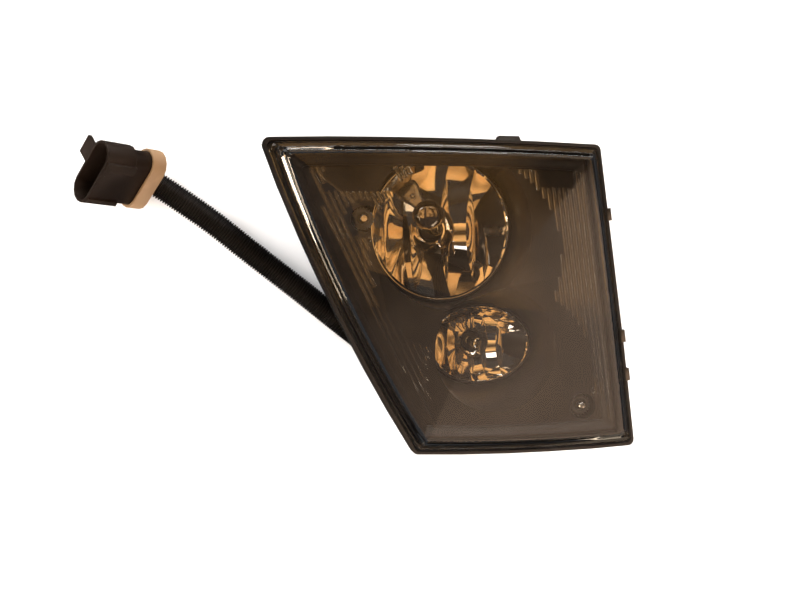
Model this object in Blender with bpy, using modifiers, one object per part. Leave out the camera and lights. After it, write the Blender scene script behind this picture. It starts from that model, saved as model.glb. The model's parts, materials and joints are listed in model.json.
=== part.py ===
"""Front auxiliary headlamp of a heavy truck: a driving lamp over a fog lamp in one trapezoid case.

The lamp lies on its back, lens up: +Z leaves the lens, +Y is the top edge as fitted, and +X runs
from the slanted side to the straight one. The origin is the middle of the lamp's footprint, at the
flat ends of the four mounting bosses. All sizes are in metres.
"""

import math

import bmesh
import bpy
from mathutils import Matrix, Vector

# Outline of the case, seen from the front
TOP_WIDTH = 0.2675
BOTTOM_WIDTH = 0.1825
LEFT_SLANT = 0.1175  # how far the bottom left corner stands in from the top left one
CASE_HEIGHT = 0.2410
TOP_ARCH = 0.0022
LEFT_ARCH = 0.0062
RIGHT_ARCH = 0.0008
ARCHES = (TOP_ARCH, LEFT_ARCH, TOP_ARCH, RIGHT_ARCH)  # top, left, bottom, right
SIDE_POINTS = (4, 6, 4, 2)  # points along each of those sides
CORNER_RADIUS = 0.0050

# Depth of the case
LAMP_DEPTH = 0.1500
LENS_RISE = 0.0170  # crown of the lens above the flange
FLANGE_DEPTH = 0.0115
CHANNEL_DEPTH = 0.0140
CASE_WALL = 0.0022
BACK_STANDOFF = 0.0300  # length of the mounting bosses below the back wall
BACK_INSET = 0.0160
WAIST_INSET = 0.0060  # of the walls, level with the reflectors' carrier
AIM_INSET = 0.0040  # and level with the ball centres
LENS_WALL = 0.0028
FACE_EDGE_RISE = 0.0125  # edge of the lens's face above the flange
CHANNEL_WIDTH = 0.0068
RIM_WALL = 0.0024
SEAL_HEIGHT = 0.0032

# Bezel
BEZEL_INSET = 0.0120
BEZEL_WALL = 0.0020
BEZEL_DROP = 0.0145  # panel below the flange
FRAME_WIDTH = 0.0080
CONE_FLARE = 0.0075
CONE_WALL = 0.0018
CONE_CLEARANCE = 0.0023

# Driving lamp
MAIN_RADIUS = 0.0575
MAIN_FOCUS = 0.0220
MAIN_DROP = 0.0385  # reflector rim below the bezel panel
MAIN_X = 0.0000
MAIN_TOP_GAP = 0.0105  # reflector rim to the top edge of the case
MAIN_NECK = 0.0110
MAIN_COLLAR = 0.0310

# Fog lamp, wider than it is high
FOG_RADIUS = 0.0425
FOG_HEIGHT_RADIUS = 0.0315
FOG_FOCUS = 0.0160
FOG_DROP = 0.0465
FOG_X = 0.0360
FOG_NECK = 0.0095
FOG_COLLAR = 0.0260
LAMP_GAP = 0.0075  # between the two reflector rims

# Both reflectors
REFLECTOR_WALL = 0.0015
NECK_LENGTH = 0.0070
SKIRT_TAPER = 0.0055  # how far the skirt draws in from the rim to the carrier
LIP_DEPTH = 0.0030
POST_RADIUS = 0.0030
POST_HEIGHT = 0.0032
POST_BORE = 0.0016
MAIN_POST_TURNS = (35, 155, 275)
FOG_POST_TURNS = (22, 158, 338)

# Cup in front of the driving bulb
GLARE_RADIUS = 0.0125
GLARE_TURN = 130.0  # where its bracket points, from +X
GLARE_OFFSET = 0.0150  # cup off the reflector's axis, towards the bracket
GLARE_RIVET = 0.0350  # rivet from the reflector's axis
GLARE_REACH = 0.0460
GLARE_SHEET = 0.0008

# Twist-off covers behind the bulbs
COLLAR_END = 0.0140
COLLAR_LIP = 0.0008  # collar above the back wall
CAP_UNDER = 0.0045
CAP_TURNED_WALL = 0.0026
CAP_GRIP = 0.0060  # width of the bar that turns the cover

# Aiming gear: a ball pivot and two adjuster screws on the reflector carrier
AIM_DROP = 0.0125  # ball centres below the bezel panel
PIVOT_X = 0.0985
PIVOT_Y = 0.0600
ADJUSTER_X = -0.0700  # horizontal aim screw, level with the pivot
ADJUSTER_BELOW = 0.1510  # vertical aim screw below the pivot
ADJUSTER_OUT = 0.0115  # and outboard of it
SCREW_RADIUS = 0.0030
NUT_RADIUS = 0.0090
BALL_RADIUS = 0.0040
CARRIER_WALL = 0.0030
CARRIER_DROP = 0.0215  # carrier plate below the main reflector rim
SCREW_BOSS_WALL = 0.0020
SCREW_HEAD = 0.0070
SCREW_HEAD_HEIGHT = 0.0060
SCREW_DRIVE = 0.0032  # radius of the recess for the driver
BALL_CLEARANCE = 0.0004
SOCKET_WALL = 0.0013
PIVOT_CLEARANCE = 0.0005
TOWER_CLEARANCE = 0.0030  # screw to tower, for the carrier's tilt
TOWER_WALL = 0.0024
TOWER_RADIUS = SCREW_RADIUS + TOWER_CLEARANCE + TOWER_WALL
SEAT_CLEARANCE = 0.0005  # reflector bowl to the carrier's window

# Mounting
BOSS_RADIUS = 0.0090
INSERT_RADIUS = 0.0045
INSERT_LENGTH = 0.0140
STUD_BORE = 0.0026
LUG_RISE = 0.0030
LUG_X = 0.0420
LUG_HALF = 0.0110
CLIP_RISE = 0.0016
CLIP_YS = (0.0640, -0.0330, -0.0640)
CLIP_HALF = 0.0050

# Conduit and connector
CONDUIT_RADIUS = 0.0106
CONDUIT_Z = 0.0108
GLAND_AT = (-0.0225, -0.0695)
GLAND_HEADING = 141.0
GLAND_ARM = 0.0180
GLAND_SPIGOT = 0.0075
WIRE_RADIUS = 0.0058
LEAD_RADIUS = 0.0018
CONDUIT_ROUTE = (
    (-0.0498, -0.0472, CONDUIT_Z),
    (-0.0776, -0.0250, CONDUIT_Z),
    (-0.1049, -0.0028, CONDUIT_Z),
    (-0.1308, 0.0176, CONDUIT_Z),
    (-0.1573, 0.0384, CONDUIT_Z),
    (-0.1826, 0.0587, CONDUIT_Z),
    (-0.2081, 0.0768, CONDUIT_Z),
    (-0.2196, 0.0846, CONDUIT_Z + 0.0004),
    (-0.2298, 0.0912, CONDUIT_Z + 0.0012),
)
MOUTH_LENGTH = 0.0580
MOUTH_WIDTH = 0.0250
SHELL_LENGTH = 0.0480
SHELL_WALL = 0.0021
MOUTH_DEPTH = 0.0340
LOCK_LENGTH = 0.0066
CONNECTOR_AT = (-0.2405, 0.0945, 0.0228)
CONNECTOR_HEADING = 175.0
CONNECTOR_RISE = 38.0
MOUTH_HEADING = 56.0
PIN_XS = (-0.0165, -0.0055, 0.0055, 0.0165)
EAR_X = 0.0080
EAR_REACH = 0.0130
EAR_HOLE = 0.0030
PIN_REACH = 0.0180

# Breather
VENT_SPIGOT = 0.0035
VENT_RADIUS = 0.0070
VENT_BORE = 0.0020
VENT_AT = (0.0850, 0.0050)

GAP = 0.0003  # between faces that touch on the real lamp
OVERCUT = 0.0010  # how far a cutter passes the face it opens
SEGMENTS = 36

# Levels that follow from the sizes above
FLANGE_TOP = LAMP_DEPTH - LENS_RISE
CHANNEL_FLOOR = FLANGE_TOP - CHANNEL_DEPTH
PANEL_TOP = FLANGE_TOP - BEZEL_DROP
PANEL_UNDER = PANEL_TOP - BEZEL_WALL
BACK_Z = BACK_STANDOFF
BACK_INNER = BACK_Z + CASE_WALL
AIM_Z = PANEL_TOP - AIM_DROP
MAIN_RIM_Z = PANEL_TOP - MAIN_DROP
FOG_RIM_Z = PANEL_TOP - FOG_DROP
CARRIER_TOP = MAIN_RIM_Z - CARRIER_DROP
CARRIER_UNDER = CARRIER_TOP - CARRIER_WALL
SEAL_TOP = CHANNEL_FLOOR + SEAL_HEIGHT
FACE_EDGE_Z = FLANGE_TOP + FACE_EDGE_RISE
STUD_SEAT = BACK_Z + 0.0040
PIVOT_BOSS_TOP = BACK_Z + 0.0220
BUSHING_RADIUS = SCREW_RADIUS + 0.0025
BUSHING_UNDER = BACK_Z - 0.0060
BUSHING_TOP = BACK_INNER + 0.0040
NUT_UNDER = AIM_Z - 0.0055
SOCKET_RADIUS = BALL_RADIUS + BALL_CLEARANCE + SOCKET_WALL


def corner_points():
    """The sharp corners of the case, counter-clockwise from the top right."""
    left = -(TOP_WIDTH + LEFT_SLANT + BOTTOM_WIDTH) / 4
    half = CASE_HEIGHT / 2
    bottom_left = left + LEFT_SLANT
    return [
        Vector((left + TOP_WIDTH, half)),
        Vector((left, half)),
        Vector((bottom_left, -half)),
        Vector((bottom_left + BOTTOM_WIDTH, -half)),
    ]


def meeting_point(start, direction, other, other_direction):
    across = direction.cross(other_direction)
    return start + direction * ((other - start).cross(other_direction) / across)


def raw_outline(inset):
    """The outline moved in by inset: four bowed sides and four round corners, as 2D points."""
    corners = corner_points()
    count = len(corners)
    lines = []
    for i in range(count):
        along = (corners[(i + 1) % count] - corners[i]).normalized()
        inward = Vector((-along.y, along.x))
        lines.append((corners[i] + inward * inset, along))
    moved = [meeting_point(*lines[i - 1], *lines[i]) for i in range(count)]
    radius = max(CORNER_RADIUS - 0.3 * inset, 0.5 * CORNER_RADIUS)
    points = []
    for i in range(count):
        before = lines[i - 1][1]
        after = lines[i][1]
        turn = before.angle(after)
        reach = radius * math.tan(turn / 2)
        centre = moved[i] - before * reach + Vector((-before.y, before.x)) * radius
        spoke = Vector((before.y, -before.x)) * radius
        for step in range(5):
            points.append(centre + Matrix.Rotation(turn * step / 4, 2) @ spoke)
        following = moved[(i + 1) % count]
        side = following - moved[i]
        outward = Vector((after.y, -after.x))
        for step in range(1, SIDE_POINTS[i] + 1):
            share = step / (SIDE_POINTS[i] + 1)
            bow = 4 * share * (1 - share) * ARCHES[i]
            points.append(moved[i] + side * share + outward * bow)
    return points


def footprint_shift():
    """What puts the middle of the footprint, with its lug and clips, on the origin."""
    points = raw_outline(0)
    xs = [p.x for p in points]
    ys = [p.y for p in points]
    return Vector(((min(xs) + max(xs)) / 2, (min(ys) + max(ys) + LUG_RISE) / 2))


SHIFT = footprint_shift()


def outline(inset, z):
    return [Vector((p.x - SHIFT.x, p.y - SHIFT.y, z)) for p in raw_outline(inset)]


def right_edge_x(y):
    top_right, _, _, bottom_right = (p - SHIFT for p in corner_points())
    share = (top_right.y - y) / (top_right.y - bottom_right.y)
    return top_right.x + share * (bottom_right.x - top_right.x)


def left_edge_x(y):
    _, top_left, bottom_left, _ = (p - SHIFT for p in corner_points())
    share = (top_left.y - y) / (top_left.y - bottom_left.y)
    return top_left.x + share * (bottom_left.x - top_left.x)


TOP_EDGE = CASE_HEIGHT / 2 + TOP_ARCH - SHIFT.y
BOTTOM_EDGE = -CASE_HEIGHT / 2 - SHIFT.y
MAIN_AT = Vector((MAIN_X, TOP_EDGE - MAIN_TOP_GAP - MAIN_RADIUS))
FOG_AT = Vector((FOG_X, MAIN_AT.y - MAIN_RADIUS - LAMP_GAP - FOG_HEIGHT_RADIUS))
MAIN_APEX_Z = MAIN_RIM_Z - MAIN_RADIUS**2 / (4 * MAIN_FOCUS)
FOG_APEX_Z = FOG_RIM_Z - FOG_RADIUS**2 / (4 * FOG_FOCUS)
PIVOT_AT = Vector((PIVOT_X, PIVOT_Y))
SIDE_SCREW_AT = Vector((ADJUSTER_X, PIVOT_Y))
LOW_SCREW_AT = Vector((PIVOT_X + ADJUSTER_OUT, PIVOT_Y - ADJUSTER_BELOW))
BOSSES = (
    Vector((left_edge_x(0.080) + 0.0420, 0.0800)),
    Vector((right_edge_x(0.092) - 0.0300, 0.0920)),
    Vector((right_edge_x(-0.055) - 0.0300, -0.0550)),
    Vector((left_edge_x(-0.098) + 0.0400, BOTTOM_EDGE + 0.0240)),
)

PARTS = None
CUTTERS = None


def clear_scene():
    for item in list(bpy.data.objects):
        bpy.data.objects.remove(item, do_unlink=True)


def new_collection(name):
    made = bpy.data.collections.new(name)
    bpy.context.scene.collection.children.link(made)
    return made


def finish_of(name, colour, roughness, metallic=0.0, transmission=0.0):
    made = bpy.data.materials.new(name)
    made.use_nodes = True
    shader = made.node_tree.nodes["Principled BSDF"]
    shader.inputs["Base Color"].default_value = (*colour, 1.0)
    shader.inputs["Roughness"].default_value = roughness
    shader.inputs["Metallic"].default_value = metallic
    shader.inputs["Transmission Weight"].default_value = transmission
    made.diffuse_color = (*colour, 1.0)
    return made


def add(name, mesh, finish=None):
    """A part when it has a finish, and otherwise a hidden helper for Booleans."""
    made = bpy.data.objects.new(name, mesh)
    if finish:
        PARTS.objects.link(made)
        mesh.materials.append(finish)
    else:
        CUTTERS.objects.link(made)
        made.hide_render = True
        made.display_type = "WIRE"
    return made


def loft(name, rings, finish=None, loop=False):
    """A solid through rings of equal point counts, capped at both ends or closed on itself."""
    shape = bmesh.new()
    made = [[shape.verts.new(p) for p in ring] for ring in rings]
    pairs = list(zip(made, made[1:]))
    if loop:
        pairs.append((made[-1], made[0]))
    else:
        shape.faces.new(made[0])
        shape.faces.new(made[-1])
    for lower, upper in pairs:
        for i in range(len(lower)):
            j = (i + 1) % len(lower)
            shape.faces.new((lower[i], lower[j], upper[j], upper[i]))
    bmesh.ops.recalc_face_normals(shape, faces=shape.faces)
    mesh = bpy.data.meshes.new(name)
    shape.to_mesh(mesh)
    shape.free()
    return add(name, mesh, finish)


def prism(name, points, bottom, top, finish=None):
    rings = [[Vector((p.x, p.y, z)) for p in points] for z in (bottom, top)]
    return loft(name, rings, finish)


def turned(name, profile, at=(0, 0), finish=None, steps=32):
    """A profile of (radius, height) points turned about +Z, running down its outer side."""
    mesh = bpy.data.meshes.new(name)
    points = [(r, 0, z) for r, z in profile]
    edges = [(i, i + 1) for i in range(len(points) - 1)]
    if profile[0][0] > 0:
        edges.append((len(points) - 1, 0))
    mesh.from_pydata(points, edges, [])
    made = add(name, mesh, finish)
    made.location = (at[0], at[1], 0)
    screw = made.modifiers.new("Turn", "SCREW")
    screw.steps = steps
    screw.render_steps = steps
    screw.use_merge_vertices = True
    screw.merge_threshold = 0.00001
    return made


def rod(name, radius, bottom, top, at=(0, 0), finish=None, steps=16):
    profile = [(0, top), (radius, top), (radius, bottom), (0, bottom)]
    return turned(name, profile, at, finish, steps)


def tube(name, outer, inner, bottom, top, at=(0, 0), finish=None, steps=32):
    profile = [(outer, top), (outer, bottom), (inner, bottom), (inner, top)]
    return turned(name, profile, at, finish, steps)


def boolean(target, other, operation):
    made = target.modifiers.new(operation.title() + " " + other.name, "BOOLEAN")
    made.operation = operation
    made.solver = "EXACT"
    made.object = other
    return target


def cut(target, other):
    return boolean(target, other, "DIFFERENCE")


def join(target, other):
    return boolean(target, other, "UNION")


def cable(name, points, radius, finish, resolution=2):
    curve = bpy.data.curves.new(name, "CURVE")
    curve.dimensions = "3D"
    curve.bevel_depth = radius
    curve.bevel_resolution = resolution
    curve.use_fill_caps = True
    line = curve.splines.new("POLY")
    line.points.add(len(points) - 1)
    for point, place in zip(line.points, points):
        point.co = (*place, 1.0)
    curve.materials.append(finish)
    made = bpy.data.objects.new(name, curve)
    PARTS.objects.link(made)
    return made


def smooth_line(points, between):
    """Points on a Catmull-Rom curve through the given ones, with some more between each pair."""
    path = [Vector(p) for p in points]
    ends = [path[0] * 2 - path[1], *path, path[-1] * 2 - path[-2]]
    made = []
    for a, b, c, d in zip(ends, ends[1:], ends[2:], ends[3:]):
        for step in range(between):
            t = step / between
            made.append(
                0.5
                * (
                    2 * b
                    + (c - a) * t
                    + (2 * a - 5 * b + 4 * c - d) * t**2
                    + (3 * b - a - 3 * c + d) * t**3
                )
            )
    made.append(path[-1])
    return made


def oval(centre, across, high, z, count=SEGMENTS):
    turns = [2 * math.pi * i / count for i in range(count)]
    points = [(centre.x + across * math.cos(t), centre.y + high * math.sin(t), z) for t in turns]
    return [Vector(point) for point in points]


def stadium(length, width, z, arc=7):
    """An oblong with round ends along X, centred on the Z axis."""
    reach = (length - width) / 2
    radius = width / 2
    points = []
    for side, start in ((1, -90), (-1, 90)):
        for step in range(arc + 1):
            turn = math.radians(start + 180 * step / arc)
            x = side * reach + radius * math.cos(turn)
            points.append(Vector((x, radius * math.sin(turn), z)))
    return points


def hull(points):
    """The convex hull of 2D points, counter-clockwise."""
    ordered = sorted(points, key=lambda p: (p.x, p.y))
    halves = []
    for run in (ordered, ordered[::-1]):
        half = []
        for p in run:
            while len(half) > 1 and (half[-1] - half[-2]).cross(p - half[-1]) <= 1e-12:
                half.pop()
            half.append(p)
        halves += half[:-1]
    return halves


def make_case():
    """The walls and the flange of the case, open at the back."""
    rings = (
        (BACK_INSET + CASE_WALL, BACK_Z),
        (BACK_INSET + CASE_WALL, BACK_INNER),
        (WAIST_INSET + CASE_WALL, BACK_INNER + 0.0213),
        (AIM_INSET + CASE_WALL, AIM_Z),
        (0.0062, CHANNEL_FLOOR - 0.0035),
        (RIM_WALL + CHANNEL_WIDTH + 0.0020, CHANNEL_FLOOR - 0.0025),
        (RIM_WALL + CHANNEL_WIDTH + 0.0020, FLANGE_TOP - 0.0030),
        (RIM_WALL + CHANNEL_WIDTH, FLANGE_TOP - 0.0030),
        (RIM_WALL + CHANNEL_WIDTH, CHANNEL_FLOOR),
        (RIM_WALL, CHANNEL_FLOOR),
        (RIM_WALL, FLANGE_TOP),
        (0, FLANGE_TOP),
        (0, FLANGE_TOP - FLANGE_DEPTH),
        (0.0035, CHANNEL_FLOOR - 0.0040),
        (AIM_INSET, AIM_Z),
        (WAIST_INSET, BACK_Z + 0.0220),
        (BACK_INSET, BACK_Z),
    )
    case = loft("housing", [outline(*ring) for ring in rings], BLACK_PLASTIC, loop=True)
    lug = prism("top_lug", lug_points(), FLANGE_TOP - 0.0090, FLANGE_TOP - 0.0020)
    return join(case, lug)


def make_back():
    """The back wall, welded into the case, with the collars of the two ports."""
    plate = outline(BACK_INSET + CASE_WALL + GAP, 0)
    case = prism("housing_back", plate, BACK_Z, BACK_INNER, BLACK_PLASTIC)
    under, inside, over = BACK_Z - OVERCUT, BACK_Z + 0.0010, BACK_INNER + OVERCUT
    bore = BUSHING_RADIUS + GAP
    rings = (
        ("main_collar", MAIN_AT, MAIN_COLLAR, CASE_WALL, COLLAR_END, BACK_INNER + COLLAR_LIP),
        ("fog_collar", FOG_AT, FOG_COLLAR, CASE_WALL, COLLAR_END, BACK_INNER + COLLAR_LIP),
        ("side_screw_boss", SIDE_SCREW_AT, bore, SCREW_BOSS_WALL, BUSHING_UNDER, BUSHING_TOP),
        ("low_screw_boss", LOW_SCREW_AT, bore, SCREW_BOSS_WALL, BUSHING_UNDER, BUSHING_TOP),
    )
    for name, at, inner, wall, _, _ in rings:
        cut(case, rod(f"{name}_hole", inner + wall / 2, under, over, at, steps=SEGMENTS))
    cut(case, rod("gland_bore", GLAND_SPIGOT + GAP, under, over, GLAND_AT))
    cut(case, rod("vent_bore", VENT_SPIGOT + GAP, under, over, VENT_AT))
    for name, at, inner, wall, low, high in rings:
        join(case, tube(name, inner + wall, inner, low, high, at, steps=SEGMENTS))
    join(case, rod("pivot_boss", STUD_BORE + 0.0034, inside, PIVOT_BOSS_TOP, PIVOT_AT))
    return cut(case, rod("pivot_bore", STUD_BORE, STUD_SEAT, PIVOT_BOSS_TOP + OVERCUT, PIVOT_AT))


def make_bosses():
    """The posts that the lamp is bolted up by, each bored for a threaded insert."""
    for i, at in enumerate(BOSSES, 1):
        boss = rod(f"mount_boss_{i}", BOSS_RADIUS, 0, BACK_Z - GAP, at, BLACK_PLASTIC, steps=20)
        depth = INSERT_LENGTH + 2 * GAP
        cut(boss, rod(f"insert_bore_{i}", INSERT_RADIUS + GAP, -OVERCUT, depth, at))


def lug_points():
    top = TOP_EDGE + LUG_RISE
    left, right = LUG_X - LUG_HALF, LUG_X + LUG_HALF
    low = TOP_EDGE - TOP_ARCH - 0.0008
    slope = 0.0030
    corners = (left, low), (right, low), (right - slope, top), (left + slope, top)
    return [Vector(corner) for corner in corners]


def make_lens():
    skirt = RIM_WALL + 0.0011
    inner = skirt + LENS_WALL
    rings = [
        (skirt, SEAL_TOP + GAP),
        (skirt, FLANGE_TOP + 0.0015),
        (skirt + 0.0014, FLANGE_TOP + 0.0032),
        (skirt + 0.0040, FLANGE_TOP + 0.0038),
        (skirt + 0.0050, FLANGE_TOP + 0.0090),
        (skirt + 0.0064, FLANGE_TOP + 0.0112),
        (skirt + 0.0089, FACE_EDGE_Z),
    ]
    under = [
        (skirt + 0.0098, FACE_EDGE_Z - LENS_WALL - 0.0002),
        (inner + 0.0052, FLANGE_TOP + 0.0074),
        (inner + 0.0042, FLANGE_TOP + 0.0007),
        (inner, FLANGE_TOP + 0.0002),
        (inner, SEAL_TOP + GAP),
    ]
    face = outline(*rings[-1])
    back = outline(*under[0])
    middle = sum((p.xy for p in face), Vector((0, 0))) / len(face)
    crown = [dome_ring(face, middle, keep) for keep in (0.2, 0.45, 0.7, 0.88)]
    lining = [dome_ring(back, middle, keep) for keep in (0.88, 0.7, 0.45, 0.2)]
    walls = [outline(*ring) for ring in rings]
    linings = [outline(*ring) for ring in under]
    return loft("outer_lens", [*crown, *walls[::-1], *linings[::-1], *lining], CLEAR_PLASTIC)


def dome_ring(edge, middle, keep):
    """The ring shrunk towards the middle, and raised on the lens's crown."""
    rise = (LAMP_DEPTH - FACE_EDGE_Z) * (1 - keep**2) / (1 - 0.2**2)
    return [Vector((*(middle + (p.xy - middle) * keep), p.z + rise)) for p in edge]


def make_seal():
    low, high = CHANNEL_FLOOR + GAP, SEAL_TOP
    near, far = RIM_WALL + GAP, RIM_WALL + CHANNEL_WIDTH - GAP
    rings = [outline(*ring) for ring in ((near, low), (near, high), (far, high), (far, low))]
    return loft("lens_seal", rings, SEALANT, loop=True)


def make_bezel():
    inner = BEZEL_INSET + FRAME_WIDTH
    rings = (
        (inner - 0.0018, PANEL_UNDER),
        (BEZEL_INSET + 0.0018, PANEL_UNDER + 0.0035),
        (BEZEL_INSET + 0.0018, PANEL_UNDER),
        (BEZEL_INSET, PANEL_UNDER),
        (BEZEL_INSET, PANEL_TOP + 0.0085),
        (BEZEL_INSET + 0.0020, PANEL_TOP + 0.0085),
        (inner, PANEL_TOP + 0.0030),
        (inner, PANEL_TOP),
    )
    bezel = loft("bezel", [outline(*ring) for ring in rings], BEZEL_PLASTIC)
    limit = prism("bezel_limit", outline(BEZEL_INSET + 0.0009, 0), 0, PANEL_TOP - 0.0004)
    cones = (
        ("main", MAIN_AT, MAIN_RADIUS, MAIN_RADIUS, MAIN_RIM_Z - 0.0040),
        ("fog", FOG_AT, FOG_RADIUS, FOG_HEIGHT_RADIUS, FOG_RIM_Z - 0.0030),
    )
    for name, at, across, high, low in cones:
        wide = across + CONE_FLARE + CONE_WALL
        clear = REFLECTOR_WALL + CONE_CLEARANCE + CONE_WALL
        rings = [oval(at, across + clear, high + clear, low), oval(at, wide, wide, PANEL_TOP)]
        join(bezel, boolean(loft(f"{name}_cone_wall", rings), limit, "INTERSECT"))
    for name, at, across, high, low in cones:
        wide = across + CONE_FLARE
        clear = REFLECTOR_WALL + CONE_CLEARANCE
        slope = (wide - across - clear) / (PANEL_TOP - low)
        high_slope = (wide - high - clear) / (PANEL_TOP - low)
        over, under = 0.0002, 0.0020
        throat = (across + clear - slope * under, high + clear - high_slope * under, low - under)
        mouth = (wide + slope * over, wide + high_slope * over, PANEL_TOP + over)
        cut(bezel, loft(f"{name}_cone", [oval(at, *throat), oval(at, *mouth)]))
    hole = NUT_RADIUS + 0.0015
    ends = FOG_RIM_Z - 0.0060, PANEL_TOP + 0.0030
    for name, at in (("side", SIDE_SCREW_AT), ("low", LOW_SCREW_AT)):
        cut(bezel, rod(f"{name}_window", hole, *ends, at, steps=32))
    return bezel


def make_lens_clips():
    """Spring clips that hold the lens to the flange while the seal cures."""
    for i, y in enumerate(CLIP_YS, 1):
        edge = right_edge_x(y) + RIGHT_ARCH
        along = Vector((right_edge_x(y - 0.01) - right_edge_x(y), -0.01)).normalized()
        out = Vector((-along.y, along.x))
        at = Vector((edge, y))
        profile = (
            (GAP, FLANGE_TOP - FLANGE_DEPTH + 0.0010),
            (CLIP_RISE, FLANGE_TOP - FLANGE_DEPTH + 0.0010),
            (CLIP_RISE, FLANGE_TOP + 0.0006 + GAP),
            (-RIM_WALL + 0.0002, FLANGE_TOP + 0.0006 + GAP),
            (-RIM_WALL + 0.0002, FLANGE_TOP + GAP),
            (GAP, FLANGE_TOP + GAP),
        )
        ends = []
        for reach in (-CLIP_HALF, CLIP_HALF):
            ends.append([Vector((*(at + out * d + along * reach), z)) for d, z in profile])
        loft(f"lens_clip_{i}", ends, SPRING_STEEL)


def bowl_height(apex, focus, radius):
    return apex + radius**2 / (4 * focus)


def post_places(at, across, high, turns):
    """Where the skirt's three screw posts stand on the carrier."""
    foot = across - SKIRT_TAPER
    places = []
    for turn in map(math.radians, turns):
        places.append(at + Vector((foot * math.cos(turn), foot * high / across * math.sin(turn))))
    return places


def make_reflector(name, at, across, high, focus, apex, neck, post_turns):
    """A parabolic bowl with a neck for the bulb and a skirt that stands on the carrier.

    Its outline may be flatter than it is wide.
    """
    radii = [neck + (across - neck) * i / 5 for i in range(6)]
    flat = high / across
    inside, outside = [], []
    for radius in radii:
        share = (radius - neck) / (across - neck)
        squash = 1 + (flat - 1) * share
        z = bowl_height(apex, focus, radius)
        inside.append(oval(at, radius, radius * squash, z))
        outer = radius + 0.7 * REFLECTOR_WALL
        outside.append(oval(at, outer, outer * squash, z - 0.9 * REFLECTOR_WALL))
    rim_z = bowl_height(apex, focus, across)
    foot = across - SKIRT_TAPER
    skirt = [
        oval(at, radius, radius * flat, z)
        for radius, z in (
            (across + REFLECTOR_WALL, rim_z),
            (across + REFLECTOR_WALL, rim_z - LIP_DEPTH),
            (foot + REFLECTOR_WALL, CARRIER_TOP + GAP),
            (foot, CARRIER_TOP + GAP),
            (across - 0.0002, rim_z - LIP_DEPTH),
        )
    ]
    neck_low = apex - NECK_LENGTH
    necks = [oval(at, neck + 0.0020, neck + 0.0020, neck_low), oval(at, neck, neck, neck_low)]
    made = loft(name, [*inside, *skirt, *outside[-2::-1], *necks], CHROME, loop=True)
    bore_end = CARRIER_TOP + POST_HEIGHT - 0.0004
    shank = POST_BORE - GAP
    head = CARRIER_UNDER - GAP
    for i, place in enumerate(post_places(at, across, high, post_turns), 1):
        post_top = CARRIER_TOP + POST_HEIGHT
        join(made, rod(f"{name}_post_{i}", POST_RADIUS, CARRIER_TOP + GAP, post_top, place, steps=12))
        bore = (POST_BORE, CARRIER_TOP - OVERCUT, bore_end)
        cut(made, rod(f"{name}_post_bore_{i}", *bore, place, steps=10))
        screw = [
            (0, bore_end - 0.0004),
            (shank, bore_end - 0.0004),
            (shank, head),
            (POST_RADIUS, head),
            (POST_RADIUS - 0.0004, head - 0.0019),
            (0, head - 0.0019),
        ]
        turned(f"{name}_screw_{i}", screw, place, ZINC, steps=10)
    return made


def make_carrier():
    """The moulded plate that both reflectors sit on, with a tower for each of its three supports."""
    discs = (
        (SIDE_SCREW_AT, TOWER_RADIUS + 0.0026, TOWER_RADIUS + 0.0026),
        (LOW_SCREW_AT, TOWER_RADIUS + 0.0026, TOWER_RADIUS + 0.0026),
        (PIVOT_AT, 0.0090, 0.0090),
        (MAIN_AT, MAIN_RADIUS - 0.0020, MAIN_RADIUS - 0.0020),
        (FOG_AT, FOG_RADIUS + 0.0010, FOG_HEIGHT_RADIUS + 0.0020),
    )
    points = [p.xy for at, across, high in discs for p in oval(at, across, high, 0, 24)]
    carrier = prism("reflector_carrier", hull(points), CARRIER_UNDER, CARRIER_TOP, GREY_PLASTIC)
    under, over = CARRIER_UNDER - OVERCUT, CARRIER_TOP + OVERCUT
    low = CARRIER_UNDER + 0.0010
    windows = (
        ("main_seat", MAIN_AT, MAIN_RADIUS, MAIN_RADIUS, MAIN_APEX_Z, MAIN_FOCUS),
        ("fog_seat", FOG_AT, FOG_RADIUS, FOG_HEIGHT_RADIUS, FOG_APEX_Z, FOG_FOCUS),
    )
    for name, at, across, high, apex, focus in windows:
        level = CARRIER_TOP + 0.9 * REFLECTOR_WALL - apex
        reach = math.sqrt(4 * focus * level) + 0.7 * REFLECTOR_WALL + SEAT_CLEARANCE
        flat = 1 + (high / across - 1) * 0.8 * reach / across
        ring = [p.xy for p in oval(at, reach, reach * flat, 0)]
        cut(carrier, prism(name, ring, under, over))
    inner = SCREW_RADIUS + TOWER_CLEARANCE
    for name, at in (("side", SIDE_SCREW_AT), ("low", LOW_SCREW_AT)):
        join(carrier, rod(f"{name}_tower", TOWER_RADIUS, low, NUT_UNDER - GAP, at, steps=32))
        cut(carrier, rod(f"{name}_tower_bore", inner, under, NUT_UNDER + OVERCUT, at))
    bore = SOCKET_RADIUS + PIVOT_CLEARANCE
    tower_top = AIM_Z + 0.0010
    join(carrier, rod("pivot_tower", bore + 0.0018, low, tower_top, PIVOT_AT, steps=32))
    cut(carrier, rod("pivot_tower_bore", bore, under, tower_top + OVERCUT, PIVOT_AT))
    places = post_places(MAIN_AT, MAIN_RADIUS, MAIN_RADIUS, MAIN_POST_TURNS)
    places += post_places(FOG_AT, FOG_RADIUS, FOG_HEIGHT_RADIUS, FOG_POST_TURNS)
    for i, place in enumerate(places, 1):
        cut(carrier, rod(f"screw_hole_{i}", POST_BORE + 0.0001, under, over, place, steps=12))
    return carrier


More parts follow.
